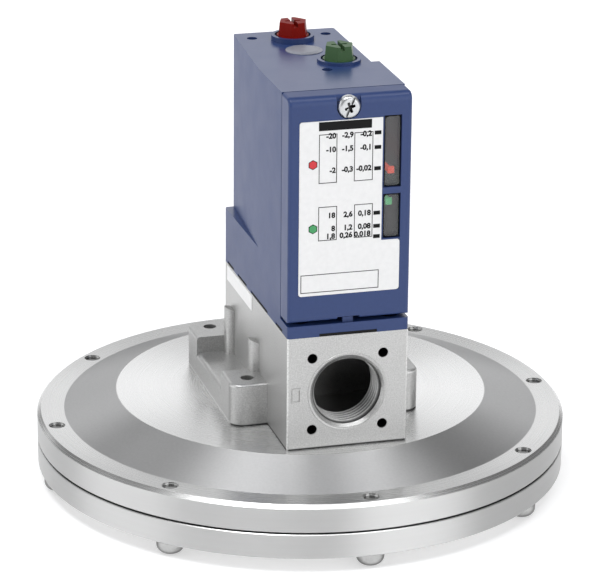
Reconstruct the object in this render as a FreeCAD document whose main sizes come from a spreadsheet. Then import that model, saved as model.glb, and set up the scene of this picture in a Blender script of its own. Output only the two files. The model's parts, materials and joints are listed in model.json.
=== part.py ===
import FreeCAD, Part
import math
import os
from types import SimpleNamespace

import Sketcher

# Vacuum switch, in millimetres. Z is up, X runs across the narrow body and Y from its front to
# its back. The origin lies on the axis of the round flanges, in the plane the screw heads stand on.

SIZES = {
    # round flanges and their screws
    "flange_diameter": 155.0,
    "bolt_edge_distance": 4.4,
    "bolt_circle_diameter": "=flange_diameter - 2 * bolt_edge_distance",
    "flange_bolt_count": 8,
    "lower_flange_thickness": 7.3,
    "upper_rim_thickness": 8.2,
    "hub_rise": 5.6,
    "hub_diameter": 108.5,
    "annulus_width": 7.9,
    "cone_foot_diameter": "=flange_diameter - 2 * annulus_width",
    "rim_chamfer": 1.1,
    "seam_chamfer": 0.3,
    "rim_width": 16.5,
    "chamber_diameter": "=flange_diameter - 2 * rim_width",
    "chamber_ceiling_slope": 9.35,
    "upper_wall": 5.2,
    "lower_floor": 4.0,
    "flange_screw_diameter": 4.0,
    "flange_head_diameter": 8.0,
    "flange_head_height": 4.0,
    "flange_head_round": 2.6,
    "screw_end_depth": 0.7,
    "screw_sink_diameter": 4.8,
    "screw_sink_depth": 0.5,
    "port_diameter": 11.44,
    "port_boss_diameter": 30.0,
    "port_boss_clearance": 0.6,
    # diaphragm and the parts it carries
    "diaphragm_thickness": 0.4,
    "diaphragm_setback": 0.7,
    "ripple_height": 2.4,
    "ripple_width": 7.0,
    "ripple_edge_distance": 1.0,
    "plate_ripple_gap": 6.0,
    "plate_diameter": "=chamber_diameter - 2 * (ripple_edge_distance + ripple_width + plate_ripple_gap)",
    "plate_thickness": 2.0,
    "plate_hub_diameter": 14.0,
    "plate_hub_rise": 2.4,
    "washer_diameter": 60.0,
    "washer_thickness": 1.4,
    "rod_diameter": 6.0,
    "rod_head_diameter": 12.0,
    "rod_head_height": 1.2,
    "rod_thread_diameter": 4.0,
    "guide_wall": 2.0,
    "guide_flange_width": 1.4,
    "guide_flange_thickness": 1.6,
    "rod_nut_height": 3.0,
    "rod_nut_flats": 7.0,
    "rod_end_spare": 1.0,
    # grey casting under the blue housing
    "body_width": 35.0,
    "front_reach": 48.9,
    "rear_reach": 21.3,
    "casting_height": 33.3,
    "casting_wall": 3.0,
    "casting_edge_round": 0.6,
    "entry_wall": 9.0,
    "entry_diameter": 20.0,
    "entry_mouth_diameter": 21.6,
    "entry_height": 16.4,
    "flange_hole_diameter": 2.9,
    "flange_hole_spacing_across": 20.5,
    "flange_hole_spacing_up": 21.2,
    "flange_hole_depth": 6.0,
    "chamber_floor": 4.0,
    "casting_roof": 4.0,
    "partition_wall": 2.5,
    "partition_reach": 16.5,
    "foot_width": 56.0,
    "foot_front_reach": 28.0,
    "foot_rear_reach": 27.5,
    "foot_web_height": 7.6,
    "foot_pad_height": 12.5,
    "front_pad_length": 13.0,
    "rear_pad_length": 13.8,
    "foot_corner_round": 4.0,
    "foot_edge_round": 1.0,
    "foot_web_round": 1.5,
    "foot_hole_diameter": 3.8,
    "foot_hole_spacing": 44.0,
    "base_screw_reach": 8.5,
    "base_head_diameter": 7.4,
    "base_head_height": 2.6,
    "thread_end_gap": 0.5,
    "column_diameter": 5.0,
    "column_height": 22.4,
    "column_top_fall": 1.3,
    "rear_column_reach": 12.2,
    "front_column_reach": 15.8,
    # blue housing, and the levels of its joint and of its top
    "housing_height": 68.9,
    "joint_level": "=flange_head_height + lower_flange_thickness + diaphragm_thickness"
                   " + upper_rim_thickness + hub_rise + casting_height",
    "top_level": "=joint_level + housing_height",
    "housing_wall": 1.5,
    "roof_thickness": 2.0,
    "band_height": 3.5,
    "flank_recess_depth": 2.4,
    "flank_recess_reach": 17.0,
    "ledge_height": 49.8,
    "housing_edge_round": 0.8,
    "collar_diameter": 12.4,
    "collar_bore_diameter": 10.4,
    "range_collar_height": 1.6,
    "differential_collar_height": 0.9,
    "knob_hole_diameter": 9.8,
    "vent_plug_diameter": 10.6,
    "vent_stem_diameter": 7.0,
    "vent_plug_rise": 0.5,
    "vent_plug_reach": 0.9,
    "blind_hole_diameter": 3.0,
    "blind_hole_depth": 1.2,
    "blind_hole_spacing": 22.0,
    "blind_hole_rear_reach": 15.3,
    "blind_hole_front_reach": 22.1,
    "gasket_thickness": 0.5,
    "gasket_width": 1.0,
    "gasket_setback": 0.8,
    "gasket_tab_height": 0.9,
    "gasket_tab_setback": 0.2,
    "gasket_slot_depth": 1.3,
    "front_slot_width": 16.7,
    "first_slot_reach": 5.6,
    "first_slot_length": 7.0,
    "second_slot_reach": 21.5,
    "second_slot_length": 18.3,
    "third_slot_reach": 45.0,
    "third_slot_length": 9.9,
    "fourth_slot_reach": 59.8,
    "fourth_slot_length": 7.2,
    "lug_length": 6.0,
    "lug_thickness": 1.4,
    "front_screw_reach": 5.0,
    "small_head_diameter": 5.4,
    "small_head_height": 1.9,
    # front cover with its windows and scale plate
    "cover_depth": 7.3,
    "cover_seam": 0.4,
    "seam_gasket_inset": 0.4,
    "seam_gasket_width": 1.0,
    "cover_gap": 1.1,
    "cover_front_wall": 1.6,
    "cover_top_round": 2.5,
    "cover_edge_round": 0.9,
    "hook_notch_width": 6.4,
    "hook_notch_height": 0.8,
    "hook_width": 3.0,
    "hook_setback": 0.8,
    "hook_thickness": 1.2,
    "cover_screw_drop": 3.1,
    "cover_screw_across": -0.6,
    "cover_screw_diameter": 3.0,
    "cover_screw_head_diameter": 6.3,
    "cover_screw_head_height": 2.2,
    "cover_screw_recess_width": 6.9,
    "cover_screw_recess_depth": 1.2,
    "cover_screw_seat_wall": 1.2,
    "cover_screw_boss_wall": 1.0,
    "cover_screw_thread_length": 6.7,
    "plate_left": -14.5,
    "plate_step": 9.1,
    "plate_right": 14.4,
    "window_left": 9.45,
    "window_right": 14.5,
    "window_drop": 6.3,
    "window_bar": 1.8,
    "range_window_height": 20.6,
    "differential_window_height": 12.9,
    "range_window_top": "=top_level - window_drop",
    "range_window_bottom": "=range_window_top - range_window_height",
    "differential_window_top": "=range_window_bottom - window_bar",
    "differential_window_bottom": "=differential_window_top - differential_window_height",
    "plate_window_gap": 0.4,
    "plate_bottom_rise": 7.6,
    "plate_top": "=range_window_top - plate_window_gap",
    "plate_shelf": "=differential_window_bottom - plate_window_gap",
    "plate_bottom": "=joint_level + band_height + cover_gap + plate_bottom_rise",
    "plate_sheet": 0.3,
    "plate_corner_round": 0.8,
    "window_thickness": 0.8,
    "window_setback": 0.3,
    "window_flange": 0.7,
    "window_round": 0.9,
    # adjusting screws, nuts, pointers and springs
    "range_screw_reach": 11.3,
    "differential_screw_across": 6.5,
    "differential_screw_reach": 14.2,
    "range_screw_diameter": 6.0,
    "differential_screw_diameter": 5.0,
    "knob_base_width": 9.1,
    "knob_top_width": 8.3,
    "knob_height": 4.0,
    "knob_slot_width": 1.2,
    "knob_slot_depth": 1.3,
    "knob_cross_length": 4.6,
    "range_knob_level": "=top_level + range_collar_height",
    "differential_knob_level": "=top_level + differential_collar_height",
    "screw_collar_height": 1.6,
    "seal_section": 1.2,
    "seal_groove_rise": 0.3,
    "seal_gap": 0.03,
    "clip_thickness": 0.8,
    "clip_gap": 0.1,
    "range_stud_diameter": 3.0,
    "differential_stud_diameter": 2.4,
    "anchor_stud_reach": 1.2,
    "anchor_flange": 1.0,
    "anchor_plug_height": 2.5,
    "range_setting_rise": 4.2,
    "differential_setting_rise": 9.9,
    "range_setting": "=range_window_bottom + range_setting_rise",
    "differential_setting": "=differential_window_bottom + differential_setting_rise",
    "nut_thickness": 4.0,
    "nut_boss_height": 3.0,
    "range_nut_width": 14.0,
    "range_nut_depth": 10.0,
    "differential_nut_width": 8.8,
    "range_tip_overhang": 0.9,
    "differential_tip_overhang": 0.4,
    "range_thread_spare": 1.5,
    "differential_thread_spare": 7.0,
    "range_spring_diameter": 12.2,
    "range_spring_wire": 1.6,
    "range_spring_turns": 11,
    "differential_spring_diameter": 8.6,
    "differential_spring_wire": 1.0,
    "differential_spring_turns": 9,
    "pointer_plane": 11.9,
    "pointer_sheet": 0.8,
    "pointer_strip_width": 1.5,
    "pointer_width": 1.8,
    "pointer_tip_height": 1.9,
    "pointer_gap": 0.6,
    # frame, balance lever and snap switch
    "frame_sheet": 1.6,
    "frame_width": 20.0,
    "frame_side_gap": 0.8,
    "frame_roof_gap": 1.5,
    "frame_top_level": "=top_level - roof_thickness - frame_roof_gap",
    "frame_front_reach": 20.0,
    "frame_screw_spacing": 14.0,
    "frame_screw_reach": 14.0,
    "cheek_front_reach": 38.0,
    "cheek_margin": 2.0,
    "cheek_top_setback": 3.0,
    "pivot_reach": 7.0,
    "pivot_height": 5.7,
    "pivot_pin_diameter": 3.0,
    "ear_length": 8.0,
    "lever_sheet": 1.6,
    "lever_width": 19.8,
    "lever_rise": 8.2,
    "lever_front_reach": 29.0,
    "lever_rear_reach": 17.0,
    "lever_web_half": 4.0,
    "lever_web_front_gap": 4.0,
    "lever_web_rear_gap": 2.0,
    "running_clearance": 0.05,
    "free_clearance": 0.3,
    "switch_width": 18.7,
    "switch_depth": 18.0,
    "switch_height": 25.0,
    "switch_rise": 13.2,
    "switch_level": "=joint_level + switch_rise",
    "cheek_top": "=switch_level + switch_height + cheek_margin",
    "switch_front_reach": 39.5,
    "plunger_diameter": 2.4,
    "plunger_guide_depth": 4.0,
    "plunger_travel": 2.0,
    "plunger_reach": 27.0,
    "plunger_across": -2.0,
    "terminal_count": 3,
    "terminal_pitch": 7.4,
    "terminal_clamp_width": 7.2,
    "terminal_clamp_sheet": 1.2,
    "terminal_gap": 0.9,
    "terminal_screw_diameter": 5.0,
    "terminal_head_height": 1.6,
    "earth_boss_width": 7.0,
    "earth_boss_height": 2.4,
    "earth_screw_reach": 30.0,
    "earth_screw_across": 7.4,
    # marking plate on the casting
    "marker_length": 28.5,
    "marker_height": 4.4,
    "marker_sheet": 0.15,
    "marker_rear_gap": 3.1,
    "marker_drop": 0.6,
}


class Size:
    """A length that carries both its formula over the sheet and its value in millimetres."""

    def __init__(self, formula, value):
        self.formula = formula
        self.value = value

    def __add__(self, other):
        return Size(f"({self.formula} + {size(other).formula})", self.value + size(other).value)

    def __sub__(self, other):
        return Size(f"({self.formula} - {size(other).formula})", self.value - size(other).value)

    def __mul__(self, factor):
        return Size(f"({self.formula} * {size(factor).formula})", self.value * size(factor).value)

    def __truediv__(self, divisor):
        return Size(f"({self.formula} / {size(divisor).formula})", self.value / size(divisor).value)

    def __radd__(self, other):
        return size(other) + self

    def __rsub__(self, other):
        return size(other) - self

    def __rmul__(self, factor):
        return self * factor

    def __neg__(self):
        return Size(f"(0 - {self.formula})", -self.value)


def size(amount):
    """A plain number as a Size; a Size stays as it is."""
    return amount if isinstance(amount, Size) else Size(f"{amount:.6f}", float(amount))


doc = FreeCAD.newDocument("vacuum_switch")
sheet = doc.addObject("Spreadsheet::Sheet", "sizes")
s = SimpleNamespace()
for row, (alias, number) in enumerate(SIZES.items(), start=1):
    sheet.set(f"A{row}", alias)
    sheet.set(f"B{row}", str(number))
    sheet.setAlias(f"B{row}", alias)
doc.recompute()
for alias in SIZES:
    setattr(s, alias, Size(f"sizes.{alias}", float(sheet.get(alias))))

PIECES = []

# Levels, stacked from the plane the part stands on

z_lower = s.flange_head_height
z_seam = z_lower + s.lower_flange_thickness
z_upper = z_seam + s.diaphragm_thickness
z_annulus = z_upper + s.upper_rim_thickness
z_base = z_annulus + s.hub_rise
z_joint = s.joint_level
z_top = s.top_level
z_roof = z_top - s.roof_thickness
z_band = z_joint + s.band_height
z_cover = z_band + s.cover_gap
z_ledge = z_base + s.ledge_height
z_chamber = z_base - s.upper_wall
z_deck = z_joint - s.casting_roof
z_frame = z_joint + s.frame_sheet
z_pivot = z_joint + s.pivot_height
z_lever = z_joint + s.lever_rise
z_lever_top = z_lever + s.lever_sheet
z_anchor = z_lever_top + s.anchor_flange
z_entry = z_base + s.entry_height

# Planes across and along the body

half_width = s.body_width / 2
y_front = -s.front_reach
y_rear = s.rear_reach
y_cover = y_front + s.cover_depth
y_housing = y_cover + s.cover_seam
x_wall = half_width - s.housing_wall
x_narrow = half_width - s.flank_recess_depth
x_narrow_wall = x_narrow - s.housing_wall
x_cheek = x_narrow_wall - s.frame_side_gap
y_back_wall = y_rear - s.housing_wall
y_pivot = -s.pivot_reach


# Places of repeated screws and columns

lug_inset = s.lug_length / 2


def mirrored(across, along):
    """The same place on both sides of the body."""
    return [(across, along), (-across, along)]


front_housing_screws = mirrored(x_wall - lug_inset, y_front + s.front_screw_reach)
rear_housing_screws = mirrored(x_wall - lug_inset, y_back_wall - lug_inset)
frame_screws_places = mirrored(s.frame_screw_spacing / 2, s.frame_screw_reach)
x_screw = s.cover_screw_across
z_screw = z_top - s.cover_screw_drop

# Sketches

PLANES = {"x": ("YZ_Plane", 1), "y": ("XZ_Plane", -1), "z": ("XY_Plane", 1)}


def vector(point):
    return FreeCAD.Vector(size(point[0]).value, size(point[1]).value, 0)


def new_body(name):
    body = doc.addObject("PartDesign::Body", name)
    body.Label = name
    body.AllowCompound = True
    PIECES.append(body)
    return body


def origin_feature(body, role):
    return next(item for item in body.Origin.OriginFeatures if item.Role == role)


def new_sketch(body, axis, level):
    """A sketch square to an axis of the row, at a level along that axis."""
    role, sense = PLANES[axis]
    sketch = body.newObject("Sketcher::SketchObject", f"{body.Name}_sketch")
    sketch.AttachmentSupport = [(origin_feature(body, role), "")]
    sketch.MapMode = "FlatFace"
    sketch.setExpression("AttachmentOffset.Base.z", (level * sense).formula)
    return sketch


def bind(sketch, kind, *references, amount):
    amount = size(amount)
    index = sketch.addConstraint(Sketcher.Constraint(kind, *references, amount.value))
    sketch.setExpression(f"Constraints[{index}]", amount.formula)


def pin_point(sketch, geometry, end, point):
    bind(sketch, "DistanceX", -1, 1, geometry, end, amount=point[0])
    bind(sketch, "DistanceY", -1, 1, geometry, end, amount=point[1])


def outline(sketch, corners):
    """A closed outline through corners given as pairs of sizes."""
    first = sketch.GeometryCount
    count = len(corners)
    for index, start in enumerate(corners):
        end = corners[(index + 1) % count]
        sketch.addGeometry(Part.LineSegment(vector(start), vector(end)), False)
    for index, corner in enumerate(corners):
        following = first + (index + 1) % count
        sketch.addConstraint(Sketcher.Constraint("Coincident", first + index, 2, following, 1))
        pin_point(sketch, first + index, 1, corner)


def rectangle(left, right, low, high):
    corners = [(left, low), (right, low), (right, high), (left, high)]
    return lambda sketch: outline(sketch, corners)


def polygon(*corners):
    return lambda sketch: outline(sketch, corners)


def circles(centres, diameter):
    """Circles of one diameter at several centres."""
    def draw(sketch):
        for centre in centres:
            circle = Part.Circle(vector(centre), FreeCAD.Vector(0, 0, 1), size(diameter).value / 2)
            geometry = sketch.addGeometry(circle, False)
            bind(sketch, "Diameter", geometry, amount=diameter)
            pin_point(sketch, geometry, 3, centre)
    return draw


def both(*drawings):
    def draw(sketch):
        for drawing in drawings:
            drawing(sketch)
    return draw


def hexagon(centre, radius, turn=0.0):
    """A hexagon by its corner radius; the turn is in degrees."""
    corners = []
    for step in range(6):
        angle = math.radians(turn + 60 * step)
        corners.append((centre[0] + radius * math.cos(angle), centre[1] + radius * math.sin(angle)))
    return polygon(*corners)


# Features

def volume_of(body):
    return 0.0 if body.Shape.isNull() else body.Shape.Volume


def settle(body, before, grows):
    """Recompute, and stop if the feature changed the solid the wrong way or not at all."""
    doc.recompute()
    change = volume_of(body) - before
    if (change <= 1e-6) if grows else (change >= -1e-6):
        raise RuntimeError(f"{body.Label}: {body.Tip.Label} changed the volume by {change:.4f}")


def add(body, axis, low, high, *drawings):
    """Pad outlines along an axis from one level to another."""
    low, high = size(low), size(high)
    before = volume_of(body)
    start = high if PLANES[axis][1] < 0 else low
    sketch = new_sketch(body, axis, start)
    both(*drawings)(sketch)
    pad = body.newObject("PartDesign::Pad", f"{body.Name}_pad")
    pad.Profile = sketch
    pad.setExpression("Length", (high - low).formula)
    settle(body, before, True)
    return pad


def cut(body, axis, low, high, *drawings):
    """Pocket outlines along an axis from one level to another."""
    low, high = size(low), size(high)
    before = volume_of(body)
    start = low if PLANES[axis][1] < 0 else high
    sketch = new_sketch(body, axis, start)
    both(*drawings)(sketch)
    pocket = body.newObject("PartDesign::Pocket", f"{body.Name}_pocket")
    pocket.Profile = sketch
    pocket.setExpression("Length", (high - low).formula)
    settle(body, before, False)
    return pocket


def revolve(body, corners, groove=False):
    """Turn a half section, given as pairs of radius and height, about the body's own Z axis."""
    before = volume_of(body)
    sketch = new_sketch(body, "y", size(0))
    outline(sketch, corners)
    kind = "PartDesign::Groove" if groove else "PartDesign::Revolution"
    feature = body.newObject(kind, f"{body.Name}_turned")
    feature.Profile = sketch
    feature.ReferenceAxis = (sketch, ["V_Axis"])
    feature.Angle = 360
    settle(body, before, not groove)
    return feature


def revolve_at(name, corners, across=0, along=0):
    """A turned piece whose axis stands at a place on the body."""
    body = new_body(name)
    revolve(body, corners)
    place(body, across, along)
    return body


def place(body, across=0, along=0, up=0):
    for letter, amount in (("x", across), ("y", along), ("z", up)):
        body.setExpression(f"Placement.Base.{letter}", size(amount).formula)
    doc.recompute()


def repeat_round(body, feature, count):
    """Repeat a feature evenly about the Z axis."""
    pattern = body.newObject("PartDesign::PolarPattern", f"{body.Name}_ring")
    pattern.Originals = [feature]
    pattern.Axis = (origin_feature(body, "Z_Axis"), [""])
    pattern.Angle = 360
    pattern.setExpression("Occurrences", count.formula)
    body.Tip = pattern
    doc.recompute()


def round_edges(body, radius, chosen, kind="PartDesign::Fillet"):
    """Round or bevel the edges that a test picks by their place."""
    base = body.Tip
    names = [f"Edge{i}" for i, edge in enumerate(base.Shape.Edges, start=1) if chosen(edge)]
    if not names:
        raise RuntimeError(f"{body.Label}: no edge to round")
    feature = body.newObject(kind, f"{body.Name}_edge")
    feature.Base = (base, names)
    target = "Radius" if kind == "PartDesign::Fillet" else "Size"
    feature.setExpression(target, size(radius).formula)
    doc.recompute()
    if feature.Shape.isNull() or not feature.Shape.isValid():
        raise RuntimeError(f"{body.Label}: the edges can't be rounded")
    return feature


def near(value, target, margin=0.02):
    return abs(value - size(target).value) < margin


def is_circle(edge):
    return edge.Curve.TypeId == "Part::GeomCircle"


def runs_along(edge, axis):
    """True for a straight edge parallel to an axis."""
    if edge.Curve.TypeId != "Part::GeomLine":
        return False
    direction = edge.Curve.Direction
    return abs(abs(getattr(direction, axis)) - 1) < 1e-6


# Flanges, diaphragm and push rod

flange_radius = s.flange_diameter / 2
chamber_radius = s.chamber_diameter / 2
bolt_radius = s.bolt_circle_diameter / 2
column_places = mirrored(half_width, s.rear_column_reach) + mirrored(half_width, -s.front_column_reach)


def lower_flange():
    body = new_body("lower_flange")
    boss_bottom = s.port_boss_clearance
    chamber_floor = z_lower + s.lower_floor
    revolve(body, [
        (s.port_diameter / 2, boss_bottom),
        (s.port_boss_diameter / 2, boss_bottom),
        (s.port_boss_diameter / 2, z_lower),
        (flange_radius - s.seam_chamfer, z_lower),
        (flange_radius, z_lower + s.seam_chamfer),
        (flange_radius, z_seam - s.seam_chamfer),
        (flange_radius - s.seam_chamfer, z_seam),
        (chamber_radius, z_seam),
        (chamber_radius, chamber_floor),
        (s.port_diameter / 2, chamber_floor),
    ])
    clearance_hole = s.flange_screw_diameter + 2 * s.free_clearance
    hole = cut(body, "z", z_lower, z_seam, circles([(bolt_radius, 0)], clearance_hole))
    repeat_round(body, hole, s.flange_bolt_count)


def upper_flange():
    body = new_body("upper_flange")
    bore = s.rod_diameter / 2 + s.free_clearance * 4
    ceiling_radius = chamber_radius - s.chamber_ceiling_slope
    revolve(body, [
        (bore, z_chamber),
        (ceiling_radius, z_chamber),
        (chamber_radius, z_upper + s.upper_rim_thickness / 3),
        (chamber_radius, z_upper),
        (flange_radius - s.seam_chamfer, z_upper),
        (flange_radius, z_upper + s.seam_chamfer),
        (flange_radius, z_annulus - s.rim_chamfer),
        (flange_radius - s.rim_chamfer, z_annulus),
        (s.cone_foot_diameter / 2, z_annulus),
        (s.hub_diameter / 2, z_base),
        (bore, z_base),
    ])
    threaded_hole = s.flange_screw_diameter + 2 * s.running_clearance
    hole = cut(body, "z", z_upper, z_annulus, circles([(bolt_radius, 0)], threaded_hole))
    repeat_round(body, hole, s.flange_bolt_count)
    sink = cut(body, "z", z_annulus - s.screw_sink_depth, z_annulus,
               circles([(bolt_radius, 0)], s.screw_sink_diameter))
    repeat_round(body, sink, s.flange_bolt_count)
    cut(body, "z", z_chamber, z_base, circles(column_places, threaded_hole))


def diaphragm():
    body = new_body("diaphragm")
    inner = s.rod_diameter / 2 + s.running_clearance
    ripple_end = chamber_radius - s.ripple_edge_distance
    ripple_start = ripple_end - s.ripple_width
    slope = s.ripple_height / 2
    rim = flange_radius - s.diaphragm_setback
    revolve(body, [
        (inner, z_seam),
        (ripple_start, z_seam),
        (ripple_start + slope, z_seam + s.ripple_height),
        (ripple_end - slope, z_seam + s.ripple_height),
        (ripple_end, z_seam),
        (rim, z_seam),
        (rim, z_upper),
        (ripple_end + s.diaphragm_thickness / 2, z_upper),
        (ripple_end - slope + s.diaphragm_thickness / 2, z_upper + s.ripple_height),
        (ripple_start + slope - s.diaphragm_thickness / 2, z_upper + s.ripple_height),
        (ripple_start - s.diaphragm_thickness / 2, z_upper),
        (inner, z_upper),
    ])
    hole = cut(body, "z", z_seam, z_upper,
               circles([(bolt_radius, 0)], s.flange_screw_diameter + 2 * s.free_clearance))
    repeat_round(body, hole, s.flange_bolt_count)


def flange_screws():
    """Pan-headed screws that come up from below and end just under the annulus."""
    body = new_body("flange_screws")
    places = []
    for step in range(int(s.flange_bolt_count.value)):
        angle = 2 * math.pi * step / s.flange_bolt_count.value
        places.append((bolt_radius * math.cos(angle), bolt_radius * math.sin(angle)))
    add(body, "z", 0, z_lower, circles(places, s.flange_head_diameter))
    round_edges(body, s.flange_head_round, lambda edge: is_circle(edge) and near(edge.BoundBox.ZMax, 0))
    add(body, "z", z_lower, z_annulus - s.screw_end_depth, circles(places, s.flange_screw_diameter))


def diaphragm_stack():
    bore = s.rod_diameter / 2 + s.running_clearance
    revolve_at("diaphragm_plate", [
        (bore, z_upper),
        (s.plate_diameter / 2, z_upper),
        (s.plate_diameter / 2, z_upper + s.plate_thickness),
        (s.plate_hub_diameter / 2, z_upper + s.plate_thickness),
        (s.plate_hub_diameter / 2, z_upper + s.plate_thickness + s.plate_hub_rise),
        (bore, z_upper + s.plate_thickness + s.plate_hub_rise),
    ])
    z_washer = z_seam - s.washer_thickness
    revolve_at("diaphragm_washer", [
        (bore, z_washer),
        (s.washer_diameter / 2, z_washer),
        (s.washer_diameter / 2, z_seam),
        (bore, z_seam),
    ])
    z_shoulder = z_lever - s.lever_sheet
    z_rod_top = z_lever_top + s.free_clearance + s.rod_nut_height + s.rod_end_spare
    revolve_at("push_rod", [
        (0, z_washer - s.rod_head_height),
        (s.rod_head_diameter / 2, z_washer - s.rod_head_height),
        (s.rod_head_diameter / 2, z_washer),
        (s.rod_diameter / 2, z_washer),
        (s.rod_diameter / 2, z_shoulder),
        (s.rod_thread_diameter / 2, z_shoulder),
        (s.rod_thread_diameter / 2, z_rod_top),
        (0, z_rod_top),
    ])
    nut = new_body("rod_nut")
    z_nut = z_lever_top + s.free_clearance
    add(nut, "z", z_nut, z_nut + s.rod_nut_height,
        hexagon((size(0), size(0)), s.rod_nut_flats / math.sqrt(3), 30),
        circles([(0, 0)], s.rod_thread_diameter + 2 * s.running_clearance))


# Casting with the cable entry and the feet

def base_casting():
    body = new_body("base_casting")
    add(body, "z", z_base, z_joint, rectangle(-half_width, half_width, y_front, y_rear))
    round_edges(body, s.casting_edge_round, lambda edge: runs_along(edge, "z"))
    add_feet(body)
    add_columns(body)
    hollow_casting(body)
    drill_casting(body)


def add_feet(body):
    z_web = z_base + s.foot_web_height
    z_pad = z_base + s.foot_pad_height
    foot = s.foot_width / 2
    front, rear = -s.foot_front_reach, s.foot_rear_reach
    add(body, "z", z_base, z_web, rectangle(-foot, foot, front, rear))
    for low, high in ((front, front + s.front_pad_length), (rear - s.rear_pad_length, rear)):
        add(body, "z", z_web, z_pad, rectangle(-foot, foot, low, high))
    round_edges(body, s.foot_corner_round, lambda edge: runs_along(edge, "z")
                and near(abs(edge.BoundBox.XMin), foot)
                and (near(edge.BoundBox.YMin, front) or near(edge.BoundBox.YMin, rear)))
    round_edges(body, s.foot_edge_round, lambda edge: near(edge.BoundBox.ZMin, z_pad)
                and near(edge.BoundBox.ZMax, z_pad)
                and abs(edge.CenterOfMass.x) > half_width.value + 0.3
                and not (runs_along(edge, "x") and front.value + 1 < edge.CenterOfMass.y < rear.value - 1))
    round_edges(body, s.foot_web_round, lambda edge: runs_along(edge, "y")
                and near(edge.BoundBox.ZMin, z_web) and near(abs(edge.BoundBox.XMin), foot))


def add_columns(body):
    """Half-round screw columns up the flanks, each with a top that falls towards the wall."""
    z_column = z_base + s.column_height
    add(body, "z", z_base, z_column, circles(column_places, s.column_diameter))
    beyond = half_width + s.column_diameter / 2 + 1
    for side in (1, -1):
        above = polygon(
            (half_width * side, z_column - s.column_top_fall),
            (beyond * side, z_column),
            (beyond * side, z_column + 1),
            (half_width * side, z_column + 1))
        cut(body, "y", -s.front_column_reach - s.column_diameter, s.rear_column_reach + s.column_diameter,
            above)


def hollow_casting(body):
    """The wiring chamber, open at the top, and the rod space, open at the bottom."""
    inner = half_width - s.casting_wall
    cut(body, "z", z_base + s.chamber_floor, z_joint,
        rectangle(-inner, inner, y_front + s.entry_wall, -s.partition_reach - s.partition_wall))
    cut(body, "z", z_base, z_deck,
        rectangle(-inner + s.column_diameter / 2, inner - s.column_diameter / 2,
                  -s.partition_reach, y_rear - s.casting_wall))


def drill_casting(body):
    entry = [(0, z_entry)]
    z_tap = z_base + s.base_screw_reach + s.thread_end_gap
    cut(body, "y", y_front, y_front + s.entry_wall, circles(entry, s.entry_diameter))
    mouth_depth = (s.entry_mouth_diameter - s.entry_diameter) / 2
    round_edges(body, mouth_depth, lambda edge: is_circle(edge) and near(edge.BoundBox.YMax, y_front)
                and near(edge.Curve.Radius, s.entry_diameter / 2), "PartDesign::Chamfer")
    half_up = s.flange_hole_spacing_up / 2
    corners = mirrored(s.flange_hole_spacing_across / 2, z_entry - half_up)
    corners += mirrored(s.flange_hole_spacing_across / 2, z_entry + half_up)
    cut(body, "y", y_front, y_front + s.flange_hole_depth, circles(corners, s.flange_hole_diameter))
    half_foot = s.foot_hole_spacing / 2
    feet = mirrored(half_foot, half_foot) + mirrored(half_foot, -half_foot)
    cut(body, "z", z_base, z_base + s.foot_pad_height, circles(feet, s.foot_hole_diameter))
    tapped = s.flange_screw_diameter + 2 * s.running_clearance
    cut(body, "z", z_base, z_tap, circles(column_places, tapped))
    cut(body, "z", z_deck, z_joint,
        circles([(0, 0)], s.rod_diameter + 2 * s.guide_wall + 2 * s.running_clearance))
    cut(body, "z", z_deck, z_joint,
        circles(front_housing_screws + rear_housing_screws,
                s.cover_screw_diameter + 2 * s.running_clearance),
        circles(frame_screws_places, s.cover_screw_diameter + 2 * s.running_clearance))


def base_screws():
    body = new_body("base_screws")
    z_end = z_base + s.base_screw_reach
    add(body, "z", z_chamber - s.base_head_height, z_chamber,
        circles(column_places, s.base_head_diameter))
    add(body, "z", z_chamber, z_end, circles(column_places, s.flange_screw_diameter))


def rod_guide():
    bore = s.rod_diameter / 2 + s.running_clearance
    outer = s.rod_diameter / 2 + s.guide_wall
    z_flange = z_deck - s.guide_flange_thickness
    revolve_at("rod_guide", [
        (bore, z_flange),
        (outer + s.guide_flange_width, z_flange),
        (outer + s.guide_flange_width, z_deck),
        (outer, z_deck),
        (outer, z_joint),
        (bore, z_joint),
    ])


def earth_screw():
    """Earth terminal on the floor of the wiring chamber."""
    z_floor = z_base + s.chamber_floor
    body = new_body("earth_screw")
    z_head = z_floor + s.earth_boss_height
    place_on_floor = [(-s.earth_screw_across, -s.earth_screw_reach)]
    add(body, "z", z_floor, z_head, circles(place_on_floor, s.earth_boss_width))
    add(body, "z", z_head, z_head + s.terminal_head_height,
        circles(place_on_floor, s.terminal_screw_diameter))


def marker_plate():
    body = new_body("marker_plate")
    y_end = y_rear - s.marker_rear_gap
    z_high = z_joint - s.marker_drop
    add(body, "x", -half_width - s.marker_sheet, -half_width,
        rectangle(y_end - s.marker_length, y_end, z_high - s.marker_height, z_high))


# Blue housing

SLOTS = ((s.first_slot_reach, s.first_slot_length), (s.second_slot_reach, s.second_slot_length),
         (s.third_slot_reach, s.third_slot_length), (s.fourth_slot_reach, s.fourth_slot_length))


def gasket_slots(inner, outer, front, back, shrink=0):
    """Places where the gasket shows along the foot of the housing, at both flanks and in front."""
    half_front = s.front_slot_width / 2 - shrink
    drawings = [rectangle(-half_front, half_front, front, back)]
    for side in (1, -1):
        for reach, length in SLOTS:
            start = y_front + reach
            drawings.append(rectangle(inner * side, outer * side, start + shrink, start + length - shrink))
    return drawings


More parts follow.
